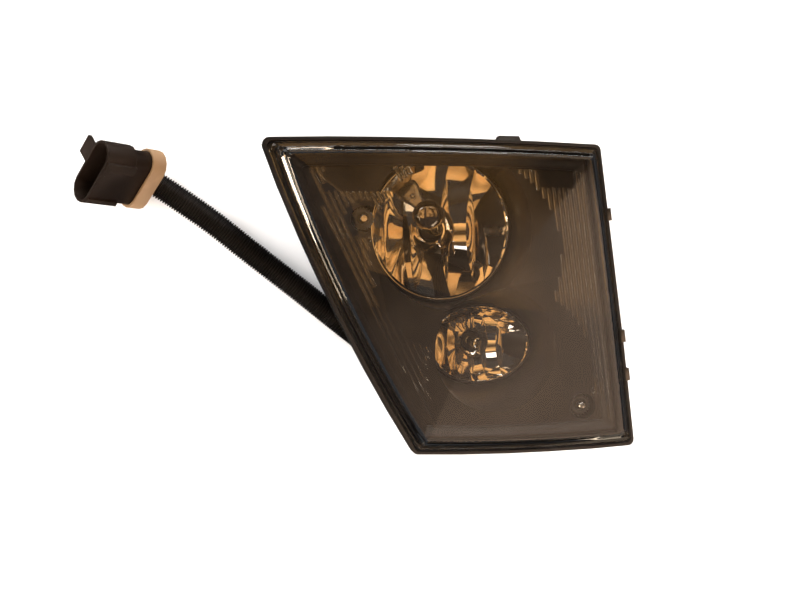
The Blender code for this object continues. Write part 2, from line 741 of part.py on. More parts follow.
def make_pivot():
    ball = [(0, AIM_Z + BALL_RADIUS)]
    for step in range(1, 9):
        turn = math.radians(18 * step)
        ball.append((BALL_RADIUS * math.sin(turn), AIM_Z + BALL_RADIUS * math.cos(turn)))
    stem = 0.0022
    ball += [(stem, AIM_Z - 0.0040), (stem, STUD_SEAT + GAP), (0, STUD_SEAT + GAP)]
    turned("pivot_stud", ball, PIVOT_AT, ZINC, steps=16)
    inner = BALL_RADIUS + BALL_CLEARANCE
    socket_under = AIM_Z - 0.0028
    cup = [(0, AIM_Z + SOCKET_RADIUS), (SOCKET_RADIUS, AIM_Z + inner - 0.0010)]
    cup += [(SOCKET_RADIUS, socket_under), (inner - 0.0006, socket_under)]
    for step in (0, 20, 40, 60, 80):
        turn = math.radians(step)
        cup.append((inner * math.cos(turn), AIM_Z + inner * math.sin(turn)))
    cup.append((0, AIM_Z + inner))
    turned("pivot_socket", cup, PIVOT_AT, NYLON, steps=16)


def make_adjusters():
    """A screw turns in a bushing in the back wall and drives a ball nut in the carrier, twice."""
    for name, at in (("side", SIDE_SCREW_AT), ("low", LOW_SCREW_AT)):
        tip = PANEL_TOP - 0.0010
        head_top = BUSHING_UNDER - 0.0012
        screw = [
            (0, tip),
            (SCREW_RADIUS - 0.0006, tip),
            (SCREW_RADIUS, tip - 0.0008),
            (SCREW_RADIUS, head_top),
            (SCREW_HEAD, head_top),
            (SCREW_HEAD, head_top - SCREW_HEAD_HEIGHT),
            (SCREW_DRIVE, head_top - SCREW_HEAD_HEIGHT),
            (SCREW_DRIVE, head_top - 0.0020),
            (0, head_top - 0.0020),
        ]
        turned(f"{name}_adjuster_screw", screw, at, ZINC, steps=18)
        bush = [
            (BUSHING_RADIUS, BUSHING_TOP + 0.0005),
            (BUSHING_RADIUS, BUSHING_UNDER - GAP),
            (BUSHING_RADIUS + 0.0020, BUSHING_UNDER - GAP),
            (BUSHING_RADIUS + 0.0020, head_top + GAP),
            (SCREW_RADIUS + GAP, head_top + GAP),
            (SCREW_RADIUS + GAP, BUSHING_TOP + 0.0005),
        ]
        turned(f"{name}_adjuster_bushing", bush, at, NYLON, steps=18)
        nut = [
            (NUT_RADIUS - 0.0016, NUT_UNDER + 0.0110),
            (NUT_RADIUS, NUT_UNDER + 0.0100),
            (NUT_RADIUS, NUT_UNDER + 0.0060),
            (NUT_RADIUS - 0.0014, NUT_UNDER + 0.0050),
            (NUT_RADIUS - 0.0014, NUT_UNDER),
            (SCREW_RADIUS + 0.0006, NUT_UNDER),
            (SCREW_RADIUS + 0.0006, NUT_UNDER + 0.0110),
        ]
        turned(f"{name}_ball_nut", nut, at, NYLON, steps=20)


def make_main_glare_cap():
    """The bright cup in front of the driving bulb, on a bracket that stands on the reflector's wall."""
    cup_z = MAIN_RIM_Z - 0.0040
    cup = [(0, cup_z + 0.0060)]
    for step in range(1, 6):
        turn = math.radians(18 * step)
        cup.append((GLARE_RADIUS * math.sin(turn), cup_z + 0.0060 * math.cos(turn)))
    cup += [(GLARE_RADIUS, cup_z - 0.0040), (GLARE_RADIUS - 0.0010, cup_z - 0.0040)]
    for step in range(5, 0, -1):
        turn = math.radians(18 * step)
        cup.append(((GLARE_RADIUS - 0.0010) * math.sin(turn), cup_z + 0.0050 * math.cos(turn)))
    cup.append((0, cup_z + 0.0050))
    turn = math.radians(GLARE_TURN)
    out = Vector((math.cos(turn), math.sin(turn)))
    side = Vector((-out.y, out.x))
    cup_at = MAIN_AT + out * GLARE_OFFSET
    shield = turned("glare_shield", cup, cup_at, MIRROR_FINISH, steps=20)
    near = cup_at + out * (GLARE_RADIUS - 0.0008)
    far = MAIN_AT + out * GLARE_REACH
    foot = bowl_height(MAIN_APEX_Z, MAIN_FOCUS, GLARE_REACH + 0.0006) + GAP
    arm = []
    for place, half, low, high in (
        (near, 0.0050, cup_z - 0.0030, cup_z - 0.0030 + GLARE_SHEET),
        (far - out * 0.0040, 0.0062, cup_z - 0.0036, cup_z - 0.0036 + GLARE_SHEET),
        (far - out * 0.0006, 0.0066, foot, cup_z - 0.0032),
        (far, 0.0066, foot, cup_z - 0.0030),
    ):
        corners = (-half, low), (half, low), (half, high), (-half, high)
        arm.append([Vector((*(place + side * across), z)) for across, z in corners])
    join(shield, loft("glare_arm", arm))
    rivet_at = MAIN_AT + out * GLARE_RIVET
    cut(shield, rod("rivet_hole", 0.0016, cup_z - 0.0080, cup_z + 0.0020, rivet_at, steps=12))
    rivet = [
        (0, cup_z - 0.0008),
        (0.0024, cup_z - 0.0018),
        (0.0026, cup_z - 0.0022),
        (0.0012, cup_z - 0.0022),
        (0.0012, cup_z - 0.0040),
        (0, cup_z - 0.0040),
    ]
    turned("shield_rivet", rivet, rivet_at, ZINC, steps=14)


def make_bulb(name, at, apex, neck, glass_top, glass_radius):
    """A twist-lock bulb: glass capsule, sealing ring, and a plug base behind the reflector."""
    seat = apex - NECK_LENGTH - GAP
    flange = neck + 0.0055
    base = [
        (0, seat + 0.0060),
        (neck - 0.0022, seat + 0.0060),
        (neck - 0.0022, seat - 0.0002),
        (flange, seat - 0.0002),
        (flange, seat - 0.0040),
        (neck - 0.0020, seat - 0.0052),
        (neck - 0.0030, seat - 0.0150),
        (0, seat - 0.0150),
    ]
    holder = turned(f"{name}_bulb_base", base, at, BLACK_PLASTIC, steps=20)
    cut(holder, rod(f"{name}_bulb_socket", 0.0042, seat + 0.0030, seat + 0.0080, at, steps=16))
    low = seat + 0.0030 + GAP
    glass = [(0, glass_top)]
    for step in range(1, 5):
        turn = math.radians(22.5 * step)
        z = glass_top - glass_radius + glass_radius * math.cos(turn)
        glass.append((glass_radius * math.sin(turn), z))
    foot = min(glass_radius, 0.0036)
    glass += [(glass_radius, seat + 0.0110), (foot, seat + 0.0080), (foot, low), (0, low)]
    turned(f"{name}_bulb_glass", glass, at, GLASS, steps=16)
    ring_z = seat + 0.0020
    ring = []
    for step in range(6):
        turn = math.radians(-60 * step)
        ring.append((neck - 0.0011 + 0.0008 * math.cos(turn), ring_z + 0.0008 * math.sin(turn)))
    turned(f"{name}_bulb_ring", ring, at, RUBBER, steps=20)


def make_cap(name, at, collar):
    """The twist-off cover behind a bulb, and the ring that seals it to the collar."""
    inner = collar + CASE_WALL + 0.0014
    outer = inner + CAP_TURNED_WALL
    top = BACK_Z - 0.0040
    floor = CAP_UNDER + CAP_TURNED_WALL
    profile = [
        (0, floor),
        (inner - 0.0020, floor),
        (inner, floor + 0.0024),
        (inner, top),
        (outer, top),
        (outer, CAP_UNDER + 0.0030),
        (outer - 0.0030, CAP_UNDER),
        (0, CAP_UNDER),
    ]
    cap = turned(f"{name}_cap", profile, at, BLACK_PLASTIC, steps=SEGMENTS)
    reach, half = outer - 0.0060, CAP_GRIP / 2
    corners = (-reach, -half), (reach, -half), (reach, half), (-reach, half)
    bar = [at + Vector(corner) for corner in corners]
    join(cap, prism(f"{name}_cap_grip", bar, CAP_UNDER - 0.0028, CAP_UNDER + 0.0010))
    near = collar + CASE_WALL + GAP
    seal_z = COLLAR_END + 0.0040
    tube(f"{name}_cap_seal", near + 0.0008, near, seal_z, seal_z + 0.0020, at, RUBBER, 28)


def make_inserts():
    for i, at in enumerate(BOSSES, 1):
        tube(f"mount_insert_{i}", INSERT_RADIUS, STUD_BORE, GAP, INSERT_LENGTH, at, BRASS, 14)


def make_vent():
    """A soft breather cap on a short spigot."""
    profile = [
        (VENT_SPIGOT, BACK_INNER + 0.0040),
        (VENT_SPIGOT, BACK_Z - GAP),
        (VENT_RADIUS, BACK_Z - GAP),
        (VENT_RADIUS, BACK_Z - 0.0110),
        (VENT_RADIUS - 0.0015, BACK_Z - 0.0130),
        (VENT_BORE, BACK_Z - 0.0130),
        (VENT_BORE, BACK_INNER + 0.0040),
    ]
    turned("vent_cap", profile, VENT_AT, RUBBER, steps=18)


def gland_direction():
    turn = math.radians(GLAND_HEADING)
    return Vector((math.cos(turn), math.sin(turn), 0))


def make_gland():
    """An elbow from the back of the case to the conduit, which lies along the ground."""
    profile = [
        (0, BACK_INNER + 0.0060),
        (GLAND_SPIGOT, BACK_INNER + 0.0060),
        (GLAND_SPIGOT, BACK_Z - GAP),
        (0.0140, BACK_Z - GAP),
        (0.0140, BACK_Z - 0.0030),
        (CONDUIT_RADIUS - 0.0006, BACK_Z - 0.0050),
        (CONDUIT_RADIUS - 0.0006, CONDUIT_Z - 0.0060),
        (CONDUIT_RADIUS - 0.0040, CONDUIT_Z - 0.0098),
        (0, CONDUIT_Z - 0.0098),
    ]
    gland = turned("cable_gland", profile, GLAND_AT, RUBBER, steps=20)
    out = gland_direction()
    arm = rod("gland_arm", CONDUIT_RADIUS - 0.0001, 0, GLAND_ARM, steps=20)
    turn = out.to_track_quat("Z", "Y").to_matrix().to_4x4()
    arm.matrix_world = Matrix.Translation((*GLAND_AT, CONDUIT_Z)) @ turn
    return join(gland, arm)


def conduit_start():
    return Vector((*GLAND_AT, CONDUIT_Z)) + gland_direction() * (GLAND_ARM + GAP)


def make_conduit():
    route = [conduit_start(), *(Vector(p) for p in CONDUIT_ROUTE)]
    cable("conduit", route, CONDUIT_RADIUS, BLACK_CONDUIT, resolution=3)


def connector_frame():
    """Local X runs along the mouth, Z out of it. The origin is the middle of the shell's rear face."""
    rise, heading = math.radians(CONNECTOR_RISE), math.radians(CONNECTOR_HEADING)
    level = math.cos(rise)
    out = Vector((level * math.cos(heading), level * math.sin(heading), math.sin(rise)))
    mouth = math.radians(MOUTH_HEADING)
    along = Vector((math.cos(mouth), math.sin(mouth), 0))
    along.z = -(along.x * out.x + along.y * out.y) / out.z
    along.normalize()
    rotation = Matrix((along, out.cross(along), out)).transposed()
    return Matrix.Translation(CONNECTOR_AT) @ rotation.to_4x4()


def make_connector():
    frame = connector_frame()
    step = SHELL_LENGTH * 0.42
    neck_length, neck_width = MOUTH_LENGTH - 0.0060, MOUTH_WIDTH - 0.0050
    shell_rings = (
        (neck_length, neck_width, 0),
        (neck_length, neck_width, step),
        (MOUTH_LENGTH, MOUTH_WIDTH, step + 0.0020),
        (MOUTH_LENGTH, MOUTH_WIDTH, SHELL_LENGTH),
    )
    shell = loft("connector_shell", [stadium(*ring) for ring in shell_rings], CONNECTOR_PLASTIC)
    floor = SHELL_LENGTH - MOUTH_DEPTH
    both_walls = 2 * SHELL_WALL
    mouth_rings = (
        (neck_length - both_walls, neck_width - both_walls, floor),
        (MOUTH_LENGTH - both_walls, MOUTH_WIDTH - both_walls, floor + 0.0100),
        (MOUTH_LENGTH - both_walls, MOUTH_WIDTH - both_walls, SHELL_LENGTH + OVERCUT),
    )
    cut(shell, loft("mouth", [stadium(*ring) for ring in mouth_rings]))
    for piece in ear_blocks():
        join(shell, block(*piece))
    ear_middle = Vector((EAR_X, (MOUTH_WIDTH + EAR_REACH) / 2))
    ends = SHELL_LENGTH - 0.0080, SHELL_LENGTH + OVERCUT
    cut(shell, rod("ear_hole", EAR_HOLE, *ends, ear_middle, steps=20))
    for i, x in enumerate(PIN_XS, 1):
        bore = (x - 0.0013, x + 0.0013, -0.0011, 0.0011, -OVERCUT, floor + OVERCUT)
        cut(shell, block(f"pin_bore_{i}", *bore))
        blade = (x - 0.0010, x + 0.0010, -0.0008, 0.0008, 0.0005, floor + PIN_REACH)
        block(f"connector_pin_{i}", *blade, TIN).matrix_world = frame
    wide, deep = MOUTH_LENGTH - 0.0010, MOUTH_WIDTH + 0.0010
    bore_wide, bore_deep = neck_length + 0.0008, neck_width + 0.0008
    lock_rings = [stadium(wide, deep, z) for z in (-LOCK_LENGTH, 0.0060)]
    lock = loft("connector_lock", lock_rings, TAN_PLASTIC)
    bore_rings = [stadium(bore_wide, bore_deep, z) for z in (-GAP, 0.0060 + OVERCUT)]
    cut(lock, loft("lock_bore", bore_rings))
    cut(lock, rod("wire_port", WIRE_RADIUS + 0.0004, -LOCK_LENGTH - OVERCUT, OVERCUT, steps=24))
    for piece in (shell, lock):
        piece.matrix_world = frame
    place_helpers(frame, (shell, lock))
    rear = frame @ Vector((0, 0, -GAP))
    inside = frame @ Vector((0, 0, -LOCK_LENGTH * 0.5))
    port = frame @ Vector((0, 0, -LOCK_LENGTH - 0.0004))
    end, before = Vector(CONDUIT_ROUTE[-1]), Vector(CONDUIT_ROUTE[-2])
    onward = (end - before).normalized()
    stub = end + onward * 1.2 * GAP
    route = [rear, inside, port, stub + onward * 0.0030, stub]
    cable("wire_bundle", route, WIRE_RADIUS, BLACK_CONDUIT, 3)


def ear_blocks():
    """The mounting ear at the mouth and the two stiffening ribs behind it."""
    half = MOUTH_WIDTH / 2
    front = SHELL_LENGTH
    plate = (half - 0.0010, half + EAR_REACH, front - 0.0036, front - 0.0004)
    rib = (half - 0.0012, half + 0.0050, front - 0.0200, front - 0.0020)
    key = (-half - 0.0016, -half + 0.0012, front - 0.0270, front - 0.0010)
    return (
        ("ear_plate", EAR_X - 0.0085, EAR_X + 0.0085, *plate),
        ("ear_rib", EAR_X - 0.0082, EAR_X - 0.0052, *rib),
        ("ear_rib_far", EAR_X + 0.0052, EAR_X + 0.0082, *rib),
        ("key_rib", -0.0210, -0.0170, *key),
        ("key_rib_wide", 0.0120, 0.0200, *key),
    )


def block(name, x0, x1, y0, y1, z0, z1, finish=None):
    shape = bmesh.new()
    bmesh.ops.create_cube(shape, size=1)
    middle = Vector(((x0 + x1) / 2, (y0 + y1) / 2, (z0 + z1) / 2))
    scale = Matrix.Diagonal((x1 - x0, y1 - y0, z1 - z0, 1))
    bmesh.ops.transform(shape, matrix=Matrix.Translation(middle) @ scale, verts=shape.verts)
    mesh = bpy.data.meshes.new(name)
    shape.to_mesh(mesh)
    shape.free()
    return add(name, mesh, finish)


def place_helpers(frame, pieces):
    """Moves the Boolean helpers of these pieces with them."""
    for piece in pieces:
        for modifier in piece.modifiers:
            helper = modifier.object
            helper.matrix_world = frame @ helper.matrix_world


def make_leads():
    """The leads inside the case, from the gland to the space behind each bulb."""
    start = Vector((*GLAND_AT, BACK_INNER + 0.0060 + GAP + LEAD_RADIUS))
    for name, at, side, collar in (
        ("main", MAIN_AT, Vector((-0.0035, 0.0035, 0)), MAIN_COLLAR),
        ("fog", FOG_AT, Vector((0.0035, 0.0015, 0)), FOG_COLLAR),
    ):
        first = start + side
        target = Vector((*at, first.z))
        out = (first - target).normalized()
        last = target + out * (collar - 0.0060)
        points = [first, first.lerp(last, 0.35), first.lerp(last, 0.7), last]
        cable(f"{name}_lead", smooth_line(points, 2), LEAD_RADIUS, BLACK_CONDUIT)


def joint_empties():
    """Empties on the joint axes."""
    places = {
        "vertical_aim_axis": (*PIVOT_AT, AIM_Z),
        "horizontal_aim_axis": (*PIVOT_AT, AIM_Z),
        "side_screw_axis": (*SIDE_SCREW_AT, AIM_Z),
        "low_screw_axis": (*LOW_SCREW_AT, AIM_Z),
        "main_cap_axis": (*MAIN_AT, BACK_Z),
        "fog_cap_axis": (*FOG_AT, BACK_Z),
    }
    for name, place in places.items():
        empty = bpy.data.objects.new(name, None)
        empty.empty_display_size = 0.01
        empty.location = place
        PARTS.objects.link(empty)


def weld_cut_pieces():
    """Merges the points that Booleans leave on top of each other."""
    for piece in PARTS.objects:
        if any(modifier.type == "BOOLEAN" for modifier in piece.modifiers):
            weld = piece.modifiers.new("Weld", "WELD")
            weld.merge_threshold = 0.00001


def shade_round_pieces():
    for piece in PARTS.objects:
        if piece.type == "MESH":
            piece.data.shade_smooth()
            piece.data.set_sharp_from_angle(angle=math.radians(35))


clear_scene()
PARTS = new_collection("auxiliary_headlamp")
CUTTERS = new_collection("cutters")
CUTTERS.hide_render = True
BLACK_PLASTIC = finish_of("Black plastic", (0.012, 0.011, 0.010), 0.55)
BEZEL_PLASTIC = finish_of("Bezel plastic", (0.055, 0.045, 0.038), 0.35)
GREY_PLASTIC = finish_of("Grey plastic", (0.10, 0.10, 0.10), 0.5)
CLEAR_PLASTIC = finish_of("Clear plastic", (0.9, 0.9, 0.88), 0.03, transmission=1.0)
SEALANT = finish_of("Sealant", (0.02, 0.02, 0.02), 0.7)
CHROME = finish_of("Bright aluminium", (0.9, 0.88, 0.84), 0.05, metallic=1.0)
MIRROR_FINISH = finish_of("Dark mirror", (0.5, 0.48, 0.45), 0.08, metallic=1.0)
SPRING_STEEL = finish_of("Spring steel", (0.45, 0.44, 0.42), 0.35, metallic=1.0)
ZINC = finish_of("Zinc", (0.62, 0.60, 0.56), 0.3, metallic=1.0)
TIN = finish_of("Tin", (0.75, 0.74, 0.70), 0.25, metallic=1.0)
BRASS = finish_of("Brass", (0.70, 0.52, 0.24), 0.3, metallic=1.0)
NYLON = finish_of("Nylon", (0.72, 0.72, 0.68), 0.35)
GLASS = finish_of("Bulb glass", (0.95, 0.95, 0.95), 0.02, transmission=1.0)
RUBBER = finish_of("Rubber", (0.02, 0.02, 0.02), 0.7)
BLACK_CONDUIT = finish_of("Conduit plastic", (0.010, 0.009, 0.008), 0.5)
CONNECTOR_PLASTIC = finish_of("Connector plastic", (0.030, 0.020, 0.015), 0.45)
TAN_PLASTIC = finish_of("Tan plastic", (0.50, 0.33, 0.18), 0.5)

make_case()
make_back()
make_bosses()
make_lens()
make_seal()
make_bezel()
make_lens_clips()
MAIN_BOWL = (MAIN_AT, MAIN_RADIUS, MAIN_RADIUS, MAIN_FOCUS, MAIN_APEX_Z, MAIN_NECK)
FOG_BOWL = (FOG_AT, FOG_RADIUS, FOG_HEIGHT_RADIUS, FOG_FOCUS, FOG_APEX_Z, FOG_NECK)
make_reflector("main_reflector", *MAIN_BOWL, MAIN_POST_TURNS)
make_reflector("fog_reflector", *FOG_BOWL, FOG_POST_TURNS)
make_carrier()
make_pivot()
make_adjusters()
make_main_glare_cap()
make_bulb("main", MAIN_AT, MAIN_APEX_Z, MAIN_NECK, MAIN_RIM_Z - 0.0110, 0.0055)
make_bulb("fog", FOG_AT, FOG_APEX_Z, FOG_NECK, FOG_APEX_Z + 0.0200, 0.0050)
make_cap("main", MAIN_AT, MAIN_COLLAR)
make_cap("fog", FOG_AT, FOG_COLLAR)
make_inserts()
make_vent()
make_gland()
make_conduit()
make_connector()
make_leads()
weld_cut_pieces()
joint_empties()
shade_round_pieces()
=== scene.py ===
"""The visible surfaces of a truck's auxiliary headlamp, built around its solid model.

The lamp lies on its back with the lens up. +Z leaves the lens and +Y is the top edge as fitted.
"""

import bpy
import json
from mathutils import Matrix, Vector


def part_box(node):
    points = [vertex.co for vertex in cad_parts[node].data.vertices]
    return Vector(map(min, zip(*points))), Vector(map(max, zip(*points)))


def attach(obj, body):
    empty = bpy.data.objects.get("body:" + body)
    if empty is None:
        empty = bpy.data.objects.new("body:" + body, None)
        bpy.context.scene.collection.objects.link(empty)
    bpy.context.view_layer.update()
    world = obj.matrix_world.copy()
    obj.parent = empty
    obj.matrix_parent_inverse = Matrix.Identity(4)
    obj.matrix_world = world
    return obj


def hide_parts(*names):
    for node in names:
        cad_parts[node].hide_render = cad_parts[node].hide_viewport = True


bl_info = {
    "name": "Auxiliary Headlamp",
    "version": (1, 0, 0),
    "blender": (4, 5, 0),
    "location": "View3D > Sidebar > Lamp",
    "description": "Lens, reflectors, bezel, case, conduit and plug of a truck's auxiliary headlamp",
    "category": "Add Mesh",
}

import json
import math

import bmesh
import bpy
from bpy.props import FloatProperty, FloatVectorProperty, IntProperty, PointerProperty
from mathutils import Matrix, Vector

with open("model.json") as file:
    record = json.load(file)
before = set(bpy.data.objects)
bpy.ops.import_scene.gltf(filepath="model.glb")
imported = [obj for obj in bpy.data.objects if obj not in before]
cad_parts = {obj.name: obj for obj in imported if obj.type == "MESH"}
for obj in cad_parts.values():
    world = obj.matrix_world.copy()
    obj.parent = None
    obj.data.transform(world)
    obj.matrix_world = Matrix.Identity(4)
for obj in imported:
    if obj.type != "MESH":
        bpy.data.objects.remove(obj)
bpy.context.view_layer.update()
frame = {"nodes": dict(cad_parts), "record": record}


def length_of(name, text, default):
    return FloatProperty(name=name, description=text, default=default, unit="LENGTH", precision=4)


def colour_of(name, text, default):
    return FloatVectorProperty(
        name=name, description=text, default=default, size=3, subtype="COLOR", min=0, max=1
    )


def middle_of(node):
    low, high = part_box(node)
    return (low + high) / 2


def top_of(node):
    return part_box(node)[1].z


def bottom_of(node):
    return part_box(node)[0].z


class LampSizes(bpy.types.PropertyGroup):
    """Sizes of the lamp's face and of its conduit."""

    top_width: length_of("Top width", "Width of the case along its top edge", 0.2675)
    bottom_width: length_of("Bottom width", "Width of the case along its bottom edge", 0.1825)
    slant: length_of("Slant", "How far the bottom left corner stands in", 0.1175)
    height: length_of("Height", "Height of the case without its lug", 0.2410)
    corner: length_of("Corner radius", "Radius of the case's four corners", 0.0050)
    top_arch: length_of("Top arch", "How far the top and bottom edges bow out", 0.0022)
    left_arch: length_of("Left arch", "How far the slanted edge bows out", 0.0062)
    right_arch: length_of("Right arch", "How far the straight edge bows out", 0.0008)
    lens_wall: length_of("Lens wall", "Thickness of the lens", 0.0028)
    flute_pitch: length_of("Flute pitch", "Distance between the lens's flutes", 0.0041)
    flute_depth: length_of("Flute depth", "Height of a flute", 0.0008)
    facet_flatness: FloatProperty(
        name="Facet flatness",
        description="1 for reflector facets that are straight across",
        default=1.0,
        min=0,
        max=2,
        subtype="FACTOR",
    )
    rib_pitch: length_of("Conduit pitch", "Distance between the conduit's ribs", 0.0023)
    rib_depth: length_of("Conduit rib depth", "Depth of the groove between ribs", 0.0013)
    round_steps: IntProperty(
        name="Round steps",
        description="Points round a large turned piece",
        default=96,
        min=24,
        max=256,
        subtype="UNSIGNED",
    )


class LampColours(bpy.types.PropertyGroup):
    """Colours of the lamp's materials."""

    case: colour_of("Case", "Black polypropylene of the case and covers", (0.012, 0.010, 0.009))
    bezel: colour_of("Bezel", "Warm charcoal of the bezel", (0.016, 0.0125, 0.010))
    # The warm tint of the chrome colour is painted reflection of warm surroundings, not the metal's own
    # colour.
    chrome: colour_of("Chrome", "Metallised reflectors", (0.90, 0.86, 0.80))
    conduit: colour_of("Conduit", "Black nylon of the conduit", (0.006, 0.0038, 0.0024))
    plug: colour_of("Plug", "Dark brown plastic of the plug", (0.020, 0.0105, 0.0055))
    lock: colour_of("Lock", "Tan plastic of the plug's rear lock", (0.47, 0.29, 0.15))
    nylon: colour_of("Nylon", "Natural nylon of the ball nuts", (0.62, 0.58, 0.52))


class StageSettings(bpy.types.PropertyGroup):
    """Floor, lights and camera."""

    floor: colour_of("Floor", "Colour of the pale floor", (0.90, 0.90, 0.90))
    floor_radius: length_of("Floor radius", "Radius of the floor before it curves up", 2.6)
    eye: FloatVectorProperty(
        name="Eye", description="Where the camera stands", default=(-0.1890, 0.0356, 0.8415), subtype="XYZ"
    )
    target: FloatVectorProperty(
        name="Target",
        description="What the camera looks at",
        default=(-0.0453, -0.0022, 0.1350),
        subtype="XYZ",
    )
    focal: FloatProperty(
        name="Focal length", description="Camera lens in millimetres", default=42.75, unit="CAMERA"
    )


def sizes():
    return bpy.context.scene.lamp_sizes


def colours():
    return bpy.context.scene.lamp_colours


# Modelling tools


def deselect():
    if bpy.context.mode != "OBJECT":
        bpy.ops.object.mode_set(mode="OBJECT")
    bpy.ops.object.select_all(action="DESELECT")


def pick(piece):
    deselect()
    piece.select_set(True)
    bpy.context.view_layer.objects.active = piece
    return piece


def edit_all():
    """Edits the active piece with all of it selected."""
    bpy.ops.object.mode_set(mode="EDIT")
    bpy.ops.mesh.select_all(action="SELECT")


def key(place):
    return tuple(round(value, 7) for value in place)


def circle_of(name, ring):
    """A circle primitive whose points stand on the ring."""
    deselect()
    bpy.ops.mesh.primitive_circle_add(vertices=len(ring), radius=0.01)
    piece = bpy.context.object
    piece.name = piece.data.name = name
    for vertex, place in zip(piece.data.vertices, ring):
        vertex.co = place
    return piece


def loft(name, rings, ends="caps"):
    """A surface extruded ring by ring.

    Its ends are both capped, both open, capped at the foot only, or joined in a loop.
    """
    piece = circle_of(name, rings[0])
    edit_all()
    if ends in ("caps", "foot"):
        bpy.ops.mesh.edge_face_add()
    following = rings[1:] + ([rings[0]] if ends == "loop" else [])
    before = rings[0]
    for ring in following:
        bpy.ops.mesh.extrude_region_move()
        shape = bmesh.from_edit_mesh(piece.data)
        places = {key(place): target for place, target in zip(before, ring)}
        for vertex in shape.verts:
            if vertex.select:
                vertex.co = places[key(vertex.co)]
        bmesh.update_edit_mesh(piece.data)
        before = [Vector(place) for place in ring]
    if ends == "foot":
        bpy.ops.mesh.delete(type="ONLY_FACE")
    bpy.ops.mesh.select_all(action="SELECT")
    if ends == "loop":
        bpy.ops.mesh.remove_doubles(threshold=0.0000005)
    bpy.ops.mesh.normals_make_consistent(inside=ends == "foot")
    bpy.ops.object.mode_set(mode="OBJECT")
    return piece


def round_ring(at, radius, z, steps, flat=1.0):
    turns = [2 * math.pi * i / steps for i in range(steps)]
    return [Vector((at[0] + radius * math.cos(t), at[1] + radius * flat * math.sin(t), z)) for t in turns]


def turned(name, profile, at, steps=48, ends="caps"):
    """A profile of (radius, height) points turned about a vertical axis."""
    return loft(name, [round_ring(at, radius, z, steps) for radius, z in profile], ends)


def apply(piece, kind, **settings):
    """Adds a modifier with these settings and applies it."""
    pick(piece)
    modifier = piece.modifiers.new(kind.title(), kind)
    for name, value in settings.items():
        setattr(modifier, name, value)
    bpy.ops.object.modifier_apply(modifier=modifier.name)
    return piece


def combine(piece, other, operation):
    apply(piece, "BOOLEAN", operation=operation, object=other, solver="EXACT")
    bpy.data.objects.remove(other)
    return piece


def cut(piece, other):
    return combine(piece, other, "DIFFERENCE")


def soften(piece, width, angle=32):
    """Rounds the piece's edges."""
    return apply(
        piece,
        "BEVEL",
        width=width,
        segments=2,
        limit_method="ANGLE",
        angle_limit=math.radians(angle),
        use_clamp_overlap=True,
    )


def joined(name, pieces):
    deselect()
    for piece in pieces:
        piece.select_set(True)
    bpy.context.view_layer.objects.active = pieces[0]
    bpy.ops.object.join()
    made = bpy.context.object
    made.name = made.data.name = name
    return made


def coat(piece, material):
    """Makes this the piece's only material."""
    piece.data.materials.clear()
    piece.data.materials.append(material)


def finish(piece, body, slot, material, *nodes, smooth=32):
    """Shades the piece, gives it its material, hangs it under its body's empty and hides the solids it
    stands for.
    """
    pick(piece)
    bpy.ops.object.shade_smooth_by_angle(angle=math.radians(smooth))
    coat(piece, material)
    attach(piece, body)
    if nodes:
        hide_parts(*nodes)
    return piece


def body_with(node):
    bodies = frame["record"]["behaviour"]["bodies"]
    return next(body for body, members in bodies.items() if node in members)


def surface_of(node, slot, material, bevel=0.0003, smooth=32):
    """A cleaned copy of a solid with rounded edges, which stands for it."""
    source = frame["nodes"][node]
    piece = bpy.data.objects.new(f"{node}_surface", source.data.copy())
    bpy.context.scene.collection.objects.link(piece)
    pick(piece)
    edit_all()
    bpy.ops.mesh.remove_doubles(threshold=0.000002)
    bpy.ops.mesh.dissolve_limited(angle_limit=math.radians(0.6))
    bpy.ops.object.mode_set(mode="OBJECT")
    if bevel:
        soften(piece, bevel)
    return finish(piece, body_with(node), slot, material, node, smooth=smooth)


# Outline of the lamp's face


def face_corners():
    shape = sizes()
    left = -(shape.top_width + shape.slant + shape.bottom_width) / 4
    half = shape.height / 2
    return [
        Vector((left + shape.top_width, half)),
        Vector((left, half)),
        Vector((left + shape.slant, -half)),
        Vector((left + shape.slant + shape.bottom_width, -half)),
    ]


CORNER_STEPS = 8
EDGE_STEPS = 14


def meeting_point(start, direction, other, other_direction):
    return start + direction * ((other - start).cross(other_direction) / direction.cross(other_direction))


def raw_outline(inset):
    """The face's outline moved in by inset: four bowed edges and four round corners."""
    shape = sizes()
    corners = face_corners()
    arches = (shape.top_arch, shape.left_arch, shape.top_arch, shape.right_arch)
    lines = []
    for i in range(4):
        along = (corners[(i + 1) % 4] - corners[i]).normalized()
        lines.append((corners[i] + Vector((-along.y, along.x)) * inset, along))
    moved = [meeting_point(*lines[i - 1], *lines[i]) for i in range(4)]
    radius = max(shape.corner - 0.3 * inset, 0.5 * shape.corner)
    points = []
    for i in range(4):
        before, after = lines[i - 1][1], lines[i][1]
        turn = before.angle(after)
        centre = moved[i] - before * radius * math.tan(turn / 2) + Vector((-before.y, before.x)) * radius
        spoke = Vector((before.y, -before.x)) * radius
        for step in range(CORNER_STEPS + 1):
            points.append(centre + Matrix.Rotation(turn * step / CORNER_STEPS, 2) @ spoke)
        side = moved[(i + 1) % 4] - moved[i]
        outward = Vector((after.y, -after.x))
        for step in range(1, EDGE_STEPS + 1):
            share = 0.04 + 0.92 * step / (EDGE_STEPS + 1)
            points.append(moved[i] + side * share + outward * 4 * share * (1 - share) * arches[i])
    return points


def outline_shift():
    """What puts the outline where the case stands."""
    points = raw_outline(0)
    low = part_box("housing")[0]
    return Vector((min(p.x for p in points) - low.x, min(p.y for p in points) - low.y))


def outline(inset, z):
    shift = outline_shift()
    return [Vector((p.x - shift.x, p.y - shift.y, z)) for p in raw_outline(inset)]


# Shared shader groups


